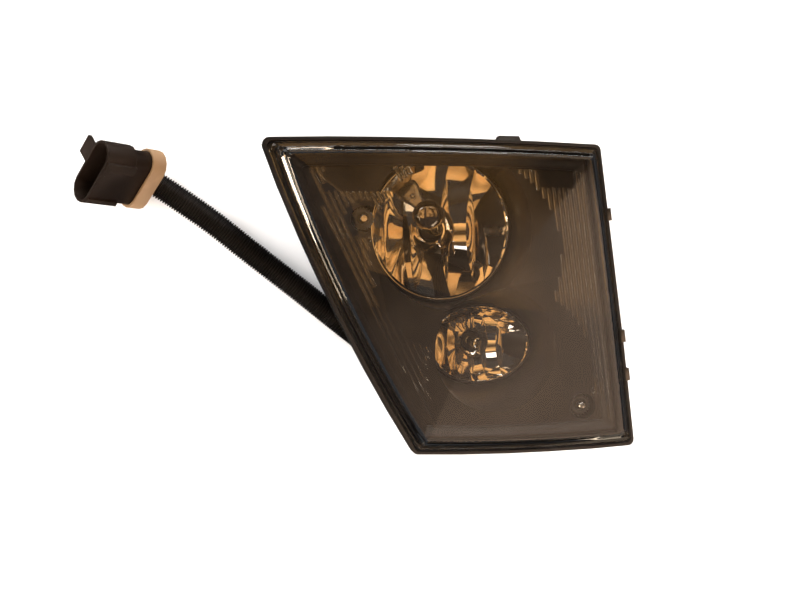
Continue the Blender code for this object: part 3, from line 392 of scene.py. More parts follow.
def added(tree, kind, **values):
    """A shader node with plain values on its inputs, an underscore standing for a space in a name."""
    node = tree.nodes.new(f"ShaderNode{kind}")
    for name, value in values.items():
        node.inputs[name.replace("_", " ")].default_value = value
    return node


def product(tree, first, second):
    """The product of two values."""
    times = added(tree, "Math")
    times.operation = "MULTIPLY"
    tree.links.new(first, times.inputs[0])
    tree.links.new(second, times.inputs[1])
    return times.outputs["Value"]


def new_group(name, inputs, outputs):
    """An empty shader group with float inputs and (name, type) outputs."""
    group = bpy.data.node_groups.new(name, "ShaderNodeTree")
    for label, default in inputs:
        socket = group.interface.new_socket(name=label, in_out="INPUT", socket_type="NodeSocketFloat")
        socket.default_value = default
    for label, kind in outputs:
        group.interface.new_socket(name=label, in_out="OUTPUT", socket_type=kind)
    return group, group.nodes.new("NodeGroupInput"), group.nodes.new("NodeGroupOutput")


def grain_group():
    """Moulded or cast grain: a fine noise as a value and as a bumped normal."""
    name = "Moulded Grain"
    if name in bpy.data.node_groups:
        return bpy.data.node_groups[name]
    inputs = (("Scale", 900.0), ("Depth", 0.00002))
    outputs = (("Value", "NodeSocketFloat"), ("Normal", "NodeSocketVector"))
    group, given, out = new_group(name, inputs, outputs)
    place = added(group, "TexCoord")
    noise = added(group, "TexNoise", Detail=4, Roughness=0.6)
    bump = added(group, "Bump")
    link = group.links.new
    link(place.outputs["Object"], noise.inputs["Vector"])
    link(given.outputs["Scale"], noise.inputs["Scale"])
    link(noise.outputs["Fac"], bump.inputs["Height"])
    link(given.outputs["Depth"], bump.inputs["Distance"])
    link(noise.outputs["Fac"], out.inputs["Value"])
    link(bump.outputs["Normal"], out.inputs["Normal"])
    return group


def dust_and_painted_reflection_group():
    """Dust and scuffs: a mask of fine specks on upward faces and of broad wiped patches. On the plastics
    the patches are wear; on the chrome they carry a painted amber reflection.
    """
    name = "Dust and Scuffs"
    if name in bpy.data.node_groups:
        return bpy.data.node_groups[name]
    inputs = (("Specks", 1.0), ("Patches", 1.0))
    outputs = (("Specks", "NodeSocketFloat"), ("Patches", "NodeSocketFloat"))
    group, given, out = new_group(name, inputs, outputs)
    link = group.links.new
    place = added(group, "TexCoord")
    cells = added(group, "TexVoronoi", Scale=170)
    near = added(group, "MapRange", From_Min=0.10, From_Max=0.05)
    sparse = added(group, "TexNoise", Scale=60)
    chosen = added(group, "MapRange", From_Min=0.60, From_Max=0.68)
    upward = added(group, "SeparateXYZ")
    normal = added(group, "NewGeometry")
    lying = added(group, "MapRange", From_Min=0.4, From_Max=0.9)
    broad = added(group, "TexNoise", Scale=22, Detail=5)
    spread = added(group, "MapRange", From_Min=0.45, From_Max=0.70)
    for node in (cells, sparse, broad):
        link(place.outputs["Object"], node.inputs["Vector"])
    link(cells.outputs["Distance"], near.inputs["Value"])
    link(sparse.outputs["Fac"], chosen.inputs["Value"])
    link(normal.outputs["Normal"], upward.inputs["Vector"])
    link(upward.outputs["Z"], lying.inputs["Value"])
    link(broad.outputs["Fac"], spread.inputs["Value"])
    value = near.outputs["Result"]
    for factor in (chosen.outputs["Result"], lying.outputs["Result"], given.outputs["Specks"]):
        value = product(group, value, factor)
    link(value, out.inputs["Specks"])
    link(product(group, spread.outputs["Result"], given.outputs["Patches"]), out.inputs["Patches"])
    return group


# Materials


def new_material(name):
    """A fresh material with its Principled shader."""
    made = bpy.data.materials.new(name)
    made.use_nodes = True
    return made, made.node_tree, made.node_tree.nodes["Principled BSDF"]


def mixed(tree, factor, first, second):
    """A colour between two others by a factor. The first may be another mix."""
    mix = tree.nodes.new("ShaderNodeMix")
    mix.data_type = "RGBA"
    tree.links.new(factor, mix.inputs["Factor"])
    if isinstance(first, bpy.types.NodeSocket):
        tree.links.new(first, mix.inputs["A"])
    else:
        mix.inputs["A"].default_value = (*first, 1)
    mix.inputs["B"].default_value = (*second, 1)
    return mix.outputs["Result"]


def ranged(tree, value, low, high):
    """A value between 0 and 1 turned into one between low and high."""
    node = added(tree, "MapRange", To_Min=low, To_Max=high)
    tree.links.new(value, node.inputs["Value"])
    return node.outputs["Result"]


def placed_group(tree, group, **values):
    node = tree.nodes.new("ShaderNodeGroup")
    node.node_tree = group
    for name, value in values.items():
        node.inputs[name.title()].default_value = value
    return node


DUST = (0.35, 0.32, 0.28)


def plastic(name, colour, rough, grain=900.0, depth=0.00002, dust=DUST, spread=0.5, metallic=0.0):
    """A moulded finish with grain, faint wiped patches and a few dust specks."""
    made, tree, shader = new_material(name)
    grained = placed_group(tree, grain_group(), scale=grain, depth=depth)
    dirt_and_painted_reflection = placed_group(tree, dust_and_painted_reflection_group(), specks=spread, patches=1.0)
    lighter = [min(1, channel * 1.7 + 0.004) for channel in colour]
    worn = mixed(tree, dirt_and_painted_reflection.outputs["Patches"], colour, lighter)
    specked = mixed(tree, dirt_and_painted_reflection.outputs["Specks"], worn, dust)
    tree.links.new(specked, shader.inputs["Base Color"])
    roughness = ranged(tree, dirt_and_painted_reflection.outputs["Patches"], rough * 0.88, rough * 1.18)
    tree.links.new(roughness, shader.inputs["Roughness"])
    tree.links.new(grained.outputs["Normal"], shader.inputs["Normal"])
    shader.inputs["Metallic"].default_value = metallic
    return made


def dull(material, level):
    """Weakens a plastic's mirror reflections."""
    material.node_tree.nodes["Principled BSDF"].inputs["Specular IOR Level"].default_value = level
    return material


def metal(name, colour, rough, grain=1500.0, depth=0.000004):
    return plastic(name, colour, rough, grain, depth, dust=colour, spread=0.0, metallic=1.0)


def clear(name, colour, ior, rough=0.0, shadow=0.92):
    """Clear plastic or glass whose shadow lets the light through."""
    made, tree, shader = new_material(name)
    shader.inputs["Base Color"].default_value = (*colour, 1)
    shader.inputs["Transmission Weight"].default_value = 1.0
    shader.inputs["IOR"].default_value = ior
    shader.inputs["Roughness"].default_value = rough
    out = tree.nodes["Material Output"]
    open_way = tree.nodes.new("ShaderNodeBsdfTransparent")
    open_way.inputs["Color"].default_value = (shadow, shadow, shadow, 1)
    path = tree.nodes.new("ShaderNodeLightPath")
    mix = tree.nodes.new("ShaderNodeMixShader")
    tree.links.new(path.outputs["Is Shadow Ray"], mix.inputs["Fac"])
    tree.links.new(shader.outputs["BSDF"], mix.inputs[1])
    tree.links.new(open_way.outputs["BSDF"], mix.inputs[2])
    tree.links.new(mix.outputs["Shader"], out.inputs["Surface"])
    return made


def chrome(name, colour, rough, amber=0.0):
    """Vacuum metallised plastic, with a faint haze in patches and, in the same patches, a painted amber
    reflection of warm surroundings.
    """
    made, tree, shader = new_material(name)
    shader.inputs["Metallic"].default_value = 1.0
    dirt_and_painted_reflection = placed_group(tree, dust_and_painted_reflection_group(), specks=0.0, patches=1.0)
    # Painted reflection: the chrome turns amber in the patches, standing in for the warm surroundings that
    # it mirrors.
    painted_amber_reflection = (colour[0], colour[1] * (1 - 0.25 * amber), colour[2] * (1 - 0.55 * amber))
    tree.links.new(mixed(tree, dirt_and_painted_reflection.outputs["Patches"], colour, painted_amber_reflection), shader.inputs["Base Color"])
    tree.links.new(ranged(tree, dirt_and_painted_reflection.outputs["Patches"], rough, rough * 2.2), shader.inputs["Roughness"])
    return made


def rubber(name, colour, rough):
    return plastic(name, colour, rough, grain=400.0, depth=0.00004, spread=0.8)


MATERIALS = {}


def make_materials():
    tint = colours()
    bezel = plastic("Bezel Plastic", tint.bezel, 0.34, grain=2400.0, depth=0.000002, spread=0.25)
    MATERIALS.update(
        bezel=dull(bezel, 0.22),
        case=plastic("Case Plastic", tint.case, 0.42, grain=700.0, depth=0.00004),
        lens=clear("Lens Polycarbonate", (0.985, 0.98, 0.97), 1.50),
        bulb_glass=clear("Bulb Glass", (0.99, 0.99, 0.98), 1.46),
        # The amber amounts paint an amber reflection into the reflectors' chrome and the cup's dark mirror.
        chrome=chrome("Reflector Chrome", tint.chrome, 0.03, amber=0.5),
        cup=chrome("Dark Mirror", (0.42, 0.39, 0.36), 0.04, amber=0.3),
        bracket=metal("Bracket Steel", (0.46, 0.42, 0.37), 0.30),
        zinc=metal("Zinc Plate", (0.82, 0.73, 0.60), 0.22),
        spring=metal("Spring Steel", (0.10, 0.09, 0.08), 0.38),
        tin=metal("Tin Plate", (0.74, 0.71, 0.66), 0.26),
        brass=metal("Brass", (0.70, 0.50, 0.23), 0.28),
        conduit=plastic("Conduit Nylon", tint.conduit, 0.46, grain=600.0, depth=0.00003, spread=0.25),
        plug=plastic("Plug Plastic", tint.plug, 0.52, grain=800.0, depth=0.00003, spread=0.5),
        lock=plastic("Lock Plastic", tint.lock, 0.48, grain=500.0, depth=0.00003, spread=0.1),
        grey=plastic("Carrier Plastic", (0.09, 0.088, 0.085), 0.46),
        rubber=rubber("Rubber", (0.016, 0.015, 0.014), 0.62),
        sealant=rubber("Sealant", (0.020, 0.018, 0.016), 0.55),
        nylon=clear("Natural Nylon", tint.nylon, 1.50, rough=0.32, shadow=0.5),
    )


# Operators


class LAMP_OT_stage(bpy.types.Operator):
    """Make the floor, the lights and the camera"""

    bl_idname = "lamp.stage"
    bl_label = "Stage"

    def execute(self, context):
        settings = context.scene.lamp_stage
        self.ground(settings)
        self.lights()
        self.ceiling()
        self.canopies()
        self.camera(settings)
        context.scene.view_settings.view_transform = "Standard"
        return {"FINISHED"}

    def ground(self, settings):
        """A flat floor and a backdrop that curves up from its edge. The lamp mirrors neither."""
        radius, curve, top = settings.floor_radius, 0.5, 1.6
        rim = [(radius * 0.99, -0.0001), (radius, 0.0)]
        floor = turned("floor", rim, (0, 0), steps=96, ends="foot")
        wall = [(radius, 0.0)]
        for step in range(1, 9):
            turn = math.radians(11.25 * step)
            wall.append((radius + curve * math.sin(turn), curve * (1 - math.cos(turn))))
        wall.append((radius + curve, top))
        backdrop = turned("backdrop", wall, (0, 0), steps=96, ends="open")
        bpy.ops.object.shade_smooth()
        made, _, shader = new_material("Pale Floor")
        shader.inputs["Base Color"].default_value = (*settings.floor, 1)
        shader.inputs["Roughness"].default_value = 0.9
        shader.inputs["Specular IOR Level"].default_value = 0.1
        for piece in (floor, backdrop):
            piece.visible_glossy = False
            piece.visible_transmission = False
            piece.data.materials.append(made)

    def camera(self, settings):
        """The camera stands at the eye, looks at the target and keeps +Y up."""
        camera = bpy.data.cameras.new("Camera")
        camera.lens = settings.focal
        camera.sensor_width = 36
        camera.clip_start, camera.clip_end = 0.01, 20
        holder = bpy.data.objects.new("Camera", camera)
        bpy.context.scene.collection.objects.link(holder)
        eye, target = Vector(settings.eye), Vector(settings.target)
        out = (eye - target).normalized()
        side = Vector((0, 1, 0)).cross(out).normalized()
        turn = Matrix((side, out.cross(side), out)).transposed()
        holder.matrix_world = Matrix.Translation(eye) @ turn.to_4x4()
        bpy.context.scene.camera = holder

    def lights(self):
        """A dim room, soft lights on everything, and four strong ones that shine on the floor alone."""
        world = bpy.data.worlds.new("Room")
        world.use_nodes = True
        world.node_tree.nodes["Background"].inputs["Color"].default_value = (0.9, 0.92, 1.0, 1)
        world.node_tree.nodes["Background"].inputs["Strength"].default_value = 0.03
        bpy.context.scene.world = world
        white, tan, amber = (1.0, 0.985, 0.97), (1.0, 0.80, 0.58), (1.0, 0.62, 0.30)
        for name, place, width, height, power, colour in (
            ("key", (-1.2, 1.5, 1.5), 1.0, 1.0, 9, white),
            ("top_strip", (0.35, 1.9, 0.85), 1.9, 0.22, 7, white),
            ("fill", (1.5, -1.5, 1.3), 1.3, 1.0, 5, tan),
            ("left_card", (-1.5, -0.5, 0.75), 0.7, 0.5, 7, tan),
            ("amber_card", (0.35, 1.25, 1.30), 1.3, 0.7, 3.2, amber),
            ("amber_side", (-1.45, 0.1, 1.15), 0.6, 0.6, 1.6, amber),
            ("spark", (0.36, 1.12, 1.08), 0.26, 0.14, 1.6, white),
        ):
            self.lamp(name, place, width, height, power, colour)
        floor_only = bpy.data.collections.new("Floor")
        for name in ("floor", "backdrop"):
            floor_only.objects.link(bpy.data.objects[name])
        corners = (("a", -1.5, 1.3), ("b", 1.5, 1.3), ("c", 1.5, -1.3), ("d", -1.5, -1.3))
        for name, x, y in corners:
            sky = self.lamp(f"sky_{name}", (x, y, 2.2), 1.9, 1.9, 58, (1.0, 1.0, 1.0))
            sky.light_linking.receiver_collection = floor_only

    def lamp(self, name, place, width, height, power, colour):
        """An area light that faces the object."""
        light = bpy.data.lights.new(name, "AREA")
        light.shape = "RECTANGLE"
        light.size, light.size_y = width, height
        light.energy = power
        light.color = colour
        holder = bpy.data.objects.new(name, light)
        holder.location = place
        holder.rotation_euler = (Vector(place) - Vector((0, 0, 0.1))).to_track_quat("Z", "Y").to_euler()
        holder.visible_camera = False
        bpy.context.scene.collection.objects.link(holder)
        return holder

    def card(self, name, label, place, width, height, colour, unseen_by):
        """A level glowing card that the camera doesn't see. Gives its shader's tree and emission node."""
        deselect()
        bpy.ops.mesh.primitive_plane_add(size=1, location=place)
        card = bpy.context.object
        card.name = card.data.name = name
        card.scale = (width, height, 1)
        bpy.ops.object.transform_apply(location=True, rotation=True, scale=True)
        for sort in ("camera", "shadow", *unseen_by):
            setattr(card, f"visible_{sort}", False)
        made, tree, shader = new_material(label)
        tree.nodes.remove(shader)
        glow = added(tree, "Emission", Color=(*colour, 1))
        tree.links.new(glow.outputs["Emission"], tree.nodes["Material Output"].inputs["Surface"])
        card.data.materials.append(made)
        return tree, glow

    def ceiling(self):
        """A tan ceiling that the lens mirrors. It ends softly at +Y and is brightest at +X and -Y."""
        tan = (1.0, 0.70, 0.50)
        at = (0.65, -0.45, 1.65)
        tree, glow = self.card("ceiling", "Tan Ceiling", at, 2.3, 1.8, tan, ("transmission",))
        place = added(tree, "TexCoord")
        axes = added(tree, "SeparateXYZ")
        edge = added(tree, "MapRange", From_Min=0.40, From_Max=0.18)
        edge.interpolation_type = "SMOOTHSTEP"
        slope = added(tree, "Math")
        slope.operation = "SUBTRACT"
        grow = added(tree, "MapRange", From_Min=0.15, From_Max=1.0, To_Min=0.20, To_Max=1.9)
        link = tree.links.new
        link(place.outputs["Object"], axes.inputs["Vector"])
        link(axes.outputs["Y"], edge.inputs["Value"])
        link(axes.outputs["X"], slope.inputs[0])
        link(axes.outputs["Y"], slope.inputs[1])
        link(slope.outputs["Value"], grow.inputs["Value"])
        link(product(tree, edge.outputs["Result"], grow.outputs["Result"]), glow.inputs["Strength"])

    def canopies(self):
        """Clouded amber cards overhead that only what lies behind the lens mirrors."""
        for name, place, width, height, colour, strength in (
            ("canopy_a", (-0.85, 0.45, 1.65), 1.1, 1.5, (1.0, 0.55, 0.20), 1.0),
            ("canopy_b", (0.72, 0.50, 1.65), 1.5, 1.2, (1.0, 0.53, 0.19), 0.85),
            ("canopy_c", (-0.05, 1.75, 1.30), 0.8, 0.4, (1.0, 0.86, 0.68), 2.6),
        ):
            unseen_by = ("glossy", "diffuse")
            tree, glow = self.card(name, name.title(), place, width, height, colour, unseen_by)
            spot = added(tree, "TexCoord")
            cloud = added(tree, "TexNoise", Scale=2.0, Detail=1)
            grow = added(tree, "MapRange", From_Min=0.40, From_Max=0.62)
            grow.inputs["To Min"].default_value = 0.08 * strength
            grow.inputs["To Max"].default_value = 1.30 * strength
            tree.links.new(spot.outputs["Object"], cloud.inputs["Vector"])
            tree.links.new(cloud.outputs["Fac"], grow.inputs["Value"])
            tree.links.new(grow.outputs["Result"], glow.inputs["Strength"])


CONDUIT_Z = 0.0108
CONDUIT_ROUTE = (
    (-0.0498, -0.0472, CONDUIT_Z),
    (-0.0776, -0.0250, CONDUIT_Z),
    (-0.1049, -0.0028, CONDUIT_Z),
    (-0.1308, 0.0176, CONDUIT_Z),
    (-0.1573, 0.0384, CONDUIT_Z),
    (-0.1826, 0.0587, CONDUIT_Z),
    (-0.2081, 0.0768, CONDUIT_Z),
    (-0.2196, 0.0846, CONDUIT_Z + 0.0004),
    (-0.2298, 0.0912, CONDUIT_Z + 0.0012),
)
CONDUIT_START = (-0.0367, -0.0580, CONDUIT_Z)
CONDUIT_DIAMETER = 0.0212


def smooth_line(points, between):
    """Points on a Catmull-Rom curve through the given ones, with some more between each pair."""
    path = [Vector(p) for p in points]
    ends = [path[0] * 2 - path[1], *path, path[-1] * 2 - path[-2]]
    made = []
    for a, b, c, d in zip(ends, ends[1:], ends[2:], ends[3:]):
        for step in range(between):
            t = step / between
            square, cube = t * t, t * t * t
            bend = 2 * b + (c - a) * t + (2 * a - 5 * b + 4 * c - d) * square
            made.append(0.5 * (bend + (3 * b - a - 3 * c + d) * cube))
    made.append(path[-1])
    return made


def line_length(points):
    return sum((b - a).length for a, b in zip(points, points[1:]))


def along_line(name, piece, points):
    """Bends a piece that stands on +X from the origin along the points."""
    curve = bpy.data.curves.new(name, "CURVE")
    curve.dimensions = "3D"
    spline = curve.splines.new("POLY")
    spline.points.add(len(points) - 1)
    for point, place in zip(spline.points, points):
        point.co = (*place, 1)
    guide = bpy.data.objects.new(name, curve)
    bpy.context.scene.collection.objects.link(guide)
    apply(piece, "CURVE", object=guide, deform_axis="POS_X")
    bpy.data.objects.remove(guide)
    return piece


class LAMP_OT_conduit(bpy.types.Operator):
    """Make the ribbed conduit that runs from the case to the plug"""

    bl_idname = "lamp.conduit"
    bl_label = "Conduit"

    def execute(self, context):
        shape = sizes()
        route = smooth_line([CONDUIT_START, *CONDUIT_ROUTE], 4)
        reach = line_length(route)
        count = round(reach / shape.rib_pitch)
        pitch = reach / count
        crest = CONDUIT_DIAMETER / 2
        valley = crest - shape.rib_depth
        tube = self.rib(pitch, valley, crest)
        apply(
            tube,
            "ARRAY",
            count=count,
            use_relative_offset=False,
            use_constant_offset=True,
            constant_offset_displace=(pitch, 0, 0),
            use_merge_vertices=True,
            merge_threshold=0.00002,
        )
        along_line("conduit_guide", tube, route)
        pick(tube)
        edit_all()
        bpy.ops.mesh.fill_holes(sides=100)
        bpy.ops.mesh.normals_make_consistent(inside=False)
        bpy.ops.object.mode_set(mode="OBJECT")
        finish(tube, "case", "conduit_plastic", MATERIALS["conduit"], "conduit", smooth=50)
        plug = [frame["nodes"][f"connector_pin_{i}"] for i in range(1, 5)]
        plug += [bpy.data.objects[name] for name in ("plug_shell", "plug_lock", "wire_bundle_surface")]
        return {"FINISHED"}

    def rib(self, pitch, valley, crest):
        """One pitch of the conduit along +X, from valley to valley."""
        steps = 40
        profile = ((valley, 0), (valley, 0.14), (crest - 0.0003, 0.26), (crest, 0.36), (crest, 0.64))
        profile += ((crest - 0.0003, 0.74), (valley, 0.86), (valley, 1))
        rings = []
        for radius, share in profile:
            turns = [2 * math.pi * i / steps for i in range(steps)]
            circle = [(radius * math.cos(t), radius * math.sin(t)) for t in turns]
            rings.append([Vector((share * pitch, *place)) for place in circle])
        return loft("conduit_tube", rings, ends="open")


# Lens


def face_share(point, edge, centre):
    """How far out the point is: 0 at the face's middle and 1 on its edge."""
    away = point - centre
    reach = 0.0
    for a, b in zip(edge, edge[1:] + edge[:1]):
        side = b - a
        bottom = away.cross(side)
        if abs(bottom) < 1e-12:
            continue
        t = (a - centre).cross(side) / bottom
        u = (a - centre).cross(away) / bottom
        if t > 0 and -1e-9 <= u <= 1 + 1e-9:
            reach = 1 / t
    return reach


class LensForm:
    """The lens's outer and inner sections as (inset, height), and the heights of its dome."""

    def __init__(self):
        self.wall = sizes().lens_wall
        self.crown = top_of("outer_lens")
        self.flange = top_of("housing")
        self.edge_z = self.flange + 0.0125
        self.low = bottom_of("outer_lens")
        skirt = 0.0035
        border = (
            (0.0, 0.0012),
            (0.0004, 0.0022),
            (0.0014, 0.0032),
            (0.0036, 0.0037),
            (0.0043, 0.0042),
            (0.0046, 0.0050),
            (0.0050, 0.0084),
            (0.0054, 0.0097),
            (0.0064, 0.0110),
            (0.0076, 0.0119),
        )
        self.outer = [(skirt, self.low)]
        self.outer += [(skirt + inward, self.flange + up) for inward, up in border]
        self.outer.append((skirt + 0.0089, self.edge_z))
        inner = skirt + self.wall
        lining = ((0.0062, 0.0084), (0.0052, 0.0070), (0.0044, 0.0014), (0.0036, 0.0007), (0.0, 0.0002))
        self.inner = [(skirt + 0.0098, self.edge_z - self.wall - 0.0002)]
        self.inner += [(inner + inward, self.flange + up) for inward, up in lining]
        self.inner.append((inner, self.low))
        face = outline(*self.outer[-1])
        self.centre = sum((p.xy for p in face), Vector((0, 0))) / len(face)
        self.edge = [p.xy for p in outline(*self.inner[0])]

    def rise(self, share):
        return (self.crown - self.edge_z) * (1 - share**2)

    def dome(self, edge, share):
        lift = self.rise(share)
        return [Vector((*(self.centre + (p.xy - self.centre) * share), p.z + lift)) for p in edge]

    def under(self, point):
        """Height of the lens's inner face above the point."""
        return self.inner[0][1] + self.rise(face_share(point, self.edge, self.centre))


DOME_SHARES = (0.04, 0.12, 0.22, 0.32, 0.42, 0.52, 0.62, 0.72, 0.80, 0.87, 0.93, 0.97)


class LAMP_OT_lens(bpy.types.Operator):
    """Make the clear lens with its stepped border"""

    bl_idname = "lamp.lens"
    bl_label = "Lens"

    def execute(self, context):
        form = LensForm()
        face, back = outline(*form.outer[-1]), outline(*form.inner[0])
        rings = [form.dome(face, share) for share in DOME_SHARES]
        rings += [outline(*ring) for ring in form.outer[::-1]]
        rings += [outline(*ring) for ring in form.inner[::-1]]
        rings += [form.dome(back, share) for share in DOME_SHARES[::-1]]
        lens = loft("lens_shell", rings)
        finish(lens, "case", "clear_plastic", MATERIALS["lens"], "outer_lens", smooth=28)
        return {"FINISHED"}


class Window:
    """A round clear area of the lens, free of flutes."""

    def __init__(self, x, y, radius):
        self.centre = Vector((x, y))
        self.radius = radius


def clear_windows():
    main, fog = middle_of("main_reflector"), middle_of("fog_reflector")
    side, low = middle_of("side_ball_nut"), middle_of("low_ball_nut")
    return (
        Window(main.x + 0.0048, main.y - 0.0220, 0.0750),
        Window(fog.x + 0.0041, fog.y - 0.0177, 0.0670),
        Window(side.x - 0.0049, side.y - 0.0010, 0.0135),
        Window(low.x - 0.0040, low.y, 0.0130),
    )


def blank_plates():
    """Smooth rectangles left free of flutes in the two upper corners: (low corner, high corner)."""
    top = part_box("bezel")[1].y
    left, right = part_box("bezel")[0].x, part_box("bezel")[1].x
    return (
        (Vector((left + 0.0270, top - 0.0300)), Vector((left + 0.0800, top - 0.0135))),
        (Vector((right - 0.0720, top - 0.0250)), Vector((right - 0.0430, top - 0.0135))),
    )


def inside_face(point, edge, margin):
    for a, b in zip(edge, edge[1:] + edge[:1]):
        side = (b - a).normalized()
        if side.cross(point - a) < margin:
            return False
    return True


FLUTE_MARGIN = 0.0095
FIRST_FLUTE = 0.0150
FLUTES_PER_SIDE = 60
FLUTE_STEP = 0.0010
FLUTE_STEPS = 270
SHORTEST_RUN = 5
# A flute's section: place across and depth, each as a share
FLUTE_CROWN = ((1, 0.0), (0.55, 0.40), (0.2, 0.95), (0, 1.0), (-0.2, 0.95), (-0.55, 0.40), (-1, 0.0))


def fluted(point, edge, windows, plates):
    if not inside_face(point, edge, FLUTE_MARGIN):
        return False
    if any((point - window.centre).length < window.radius for window in windows):
        return False
    return not any(low.x < point.x < high.x and low.y < point.y < high.y for low, high in plates)


def flute_runs(start, along, edge, windows, plates, keep):
    """The stretches of a flute's line that lie on the fluted part of the face."""
    runs = [[]]
    for i in range(FLUTE_STEPS):
        point = start + along * FLUTE_STEP * i
        if fluted(point, edge, windows, plates) and keep(point):
            runs[-1].append(point)
        else:
            runs.append([])
    return [(run[0], run[-1]) for run in runs if len(run) >= SHORTEST_RUN]


class LAMP_OT_flutes(bpy.types.Operator):
    """Make the flutes on the lens's inner face, outside its clear windows and plain plates"""

    bl_idname = "lamp.flutes"
    bl_label = "Lens Flutes"

    def execute(self, context):
        shape = sizes()
        form = LensForm()
        windows, plates = clear_windows(), blank_plates()
        edge = form.edge
        shift = outline_shift()
        top_right, top_left, bottom_left, bottom_right = (corner - shift for corner in face_corners())
        left_way = (bottom_left - top_left).normalized()
        right_way = (bottom_right - top_right).normalized()
        across_left = Vector((-left_way.y, left_way.x))
        across_right = Vector((right_way.y, -right_way.x))
        middle_x = form.centre.x + 0.0200

        def on_left(point):
            return point.x < middle_x - 0.010 * point.y

        sides = (
            (top_left - left_way * 0.01, left_way, across_left, on_left),
            (top_right - right_way * 0.01, right_way, across_right, lambda point: not on_left(point)),
        )
        pieces = []
        for origin, along, across, keep in sides:
            for i in range(FLUTES_PER_SIDE):
                start = origin + across * (FIRST_FLUTE + shape.flute_pitch * i)
                for first, last in flute_runs(start, along, edge, windows, plates, keep):
                    pieces.append(self.flute(len(pieces), form, first, last, across))
        flutes = joined("lens_flutes", pieces)
        finish(flutes, "case", "clear_plastic", MATERIALS["lens"], smooth=25)
        return {"FINISHED"}

    def flute(self, number, form, first, last, across):
        """One rib under the lens, thinned at both ends."""
        shape = sizes()
        half = shape.flute_pitch * 0.40
        count = max(3, round((last - first).length / 0.018) + 1)
        shares = [0.0, 0.0008 / (last - first).length]
        shares += [i / count for i in range(1, count)]
        shares += [1 - shares[1], 1.0]
        rings = []
        for share in shares:
            at = first.lerp(last, share)
            deep = shape.flute_depth * (0.15 if share in (0.0, 1.0) else 1.0)
            top = form.under(at) - 0.00005
            ring = []
            for side, drop in FLUTE_CROWN:
                place = at + across * half * side
                ring.append(Vector((*place, top - deep * drop)))
            rings.append(ring)
        return loft(f"flute_{number}", rings)


# Bezel


class LAMP_OT_bezel(bpy.types.Operator):
    """Make the bezel: frame, panel, two conical mouths and two adjuster windows"""

    bl_idname = "lamp.bezel"
    bl_label = "Bezel"

    inset = 0.0120

    def execute(self, context):
        top = top_of("bezel")
        panel = top - 0.0085
        low = bottom_of("bezel")
        bezel = loft("bezel_panel", self.panel_rings(top, panel))
        cones = (
            ("main", "main_reflector", top_of("main_reflector") - 0.0040),
            ("fog", "fog_reflector", low),
        )
        for name, node, foot in cones:
            combine(bezel, self.cone(name, node, foot, panel), "UNION")
        for name, node, foot in cones:
            cut(bezel, self.hollow(name, node, foot, panel))
        for node in ("side_ball_nut", "low_ball_nut"):
            radius = self.radii(node)[0] + 0.0015
            bore = ((radius, low - 0.0060), (radius, panel + 0.0030))
            cut(bezel, turned("window", bore, middle_of(node)))
        soften(bezel, 0.0005, angle=38)
        finish(bezel, "case", "bezel_plastic", MATERIALS["bezel"], "bezel", smooth=34)
        return {"FINISHED"}

    def panel_rings(self, top, panel):
        """The panel and the stepped frame round it, from the panel's underside to its face."""
        under = panel - 0.0020
        inset, inner = self.inset, 0.0200
        rings = (
            (inner - 0.0018, under),
            (inset + 0.0018, under + 0.0035),
            (inset + 0.0018, under),
            (inset, under),
            (inset, top - 0.0003),
            (inset + 0.0003, top),
            (inset + 0.0018, top),
            (inset + 0.0022, top - 0.0003),
            (inset + 0.0030, panel + 0.0072),
            (inset + 0.0036, panel + 0.0070),
            (inner - 0.0006, panel + 0.0034),
            (inner - 0.0001, panel + 0.0028),
            (inner, panel + 0.0006),
            (inner + 0.0006, panel),
        )
        return [outline(*ring) for ring in rings]

    flare, wall, clearance = 0.0075, 0.0018, 0.0023

    def cone(self, name, node, foot, panel):
        """A mouth's outer cone, kept inside the panel's outline."""
        across, high = self.radii(node)
        throat = across + self.clearance + self.wall
        squash = (high + self.clearance + self.wall) / throat
        wide = across - 0.0015 + self.flare
        steps = sizes().round_steps
        at = middle_of(node)
        foot_ring = round_ring(at, throat, foot, steps, squash)
        walls = loft(f"{name}_cone", [foot_ring, round_ring(at, wide + self.wall, panel, steps)])
        edge = outline(self.inset, 0)
        limit = loft("limit", [[Vector((p.x, p.y, z)) for p in edge] for z in (0, panel - 0.0004)])
        return combine(walls, limit, "INTERSECT")

    def hollow(self, name, node, foot, panel):
        """What a mouth leaves open: its inner cone, from below its foot to above the panel."""
        across, high = self.radii(node)
        over, below = 0.0002, 0.0020
        wide = across - 0.0015 + self.flare
        clear_x, clear_y = across + self.clearance, high + self.clearance
        slope_x, slope_y = (wide - clear_x) / (panel - foot), (wide - clear_y) / (panel - foot)
        bottom_x, bottom_y = clear_x - slope_x * below, clear_y - slope_y * below
        upper_x, upper_y = wide + slope_x * over, wide + slope_y * over
        steps = sizes().round_steps
        at = middle_of(node)
        bottom = round_ring(at, bottom_x, foot - below, steps, bottom_y / bottom_x)
        upper = round_ring(at, upper_x, panel + over, steps, upper_y / upper_x)
        return loft(f"{name}_hollow", [bottom, upper])

    def radii(self, node):
        low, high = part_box(node)
        return (high.x - low.x) / 2, (high.y - low.y) / 2


# Reflectors


CARRIER_FACE = 0.0588
CREASE_SLOPE = 0.12
BOWL_RINGS = 56
BOWL_STEPS = 240


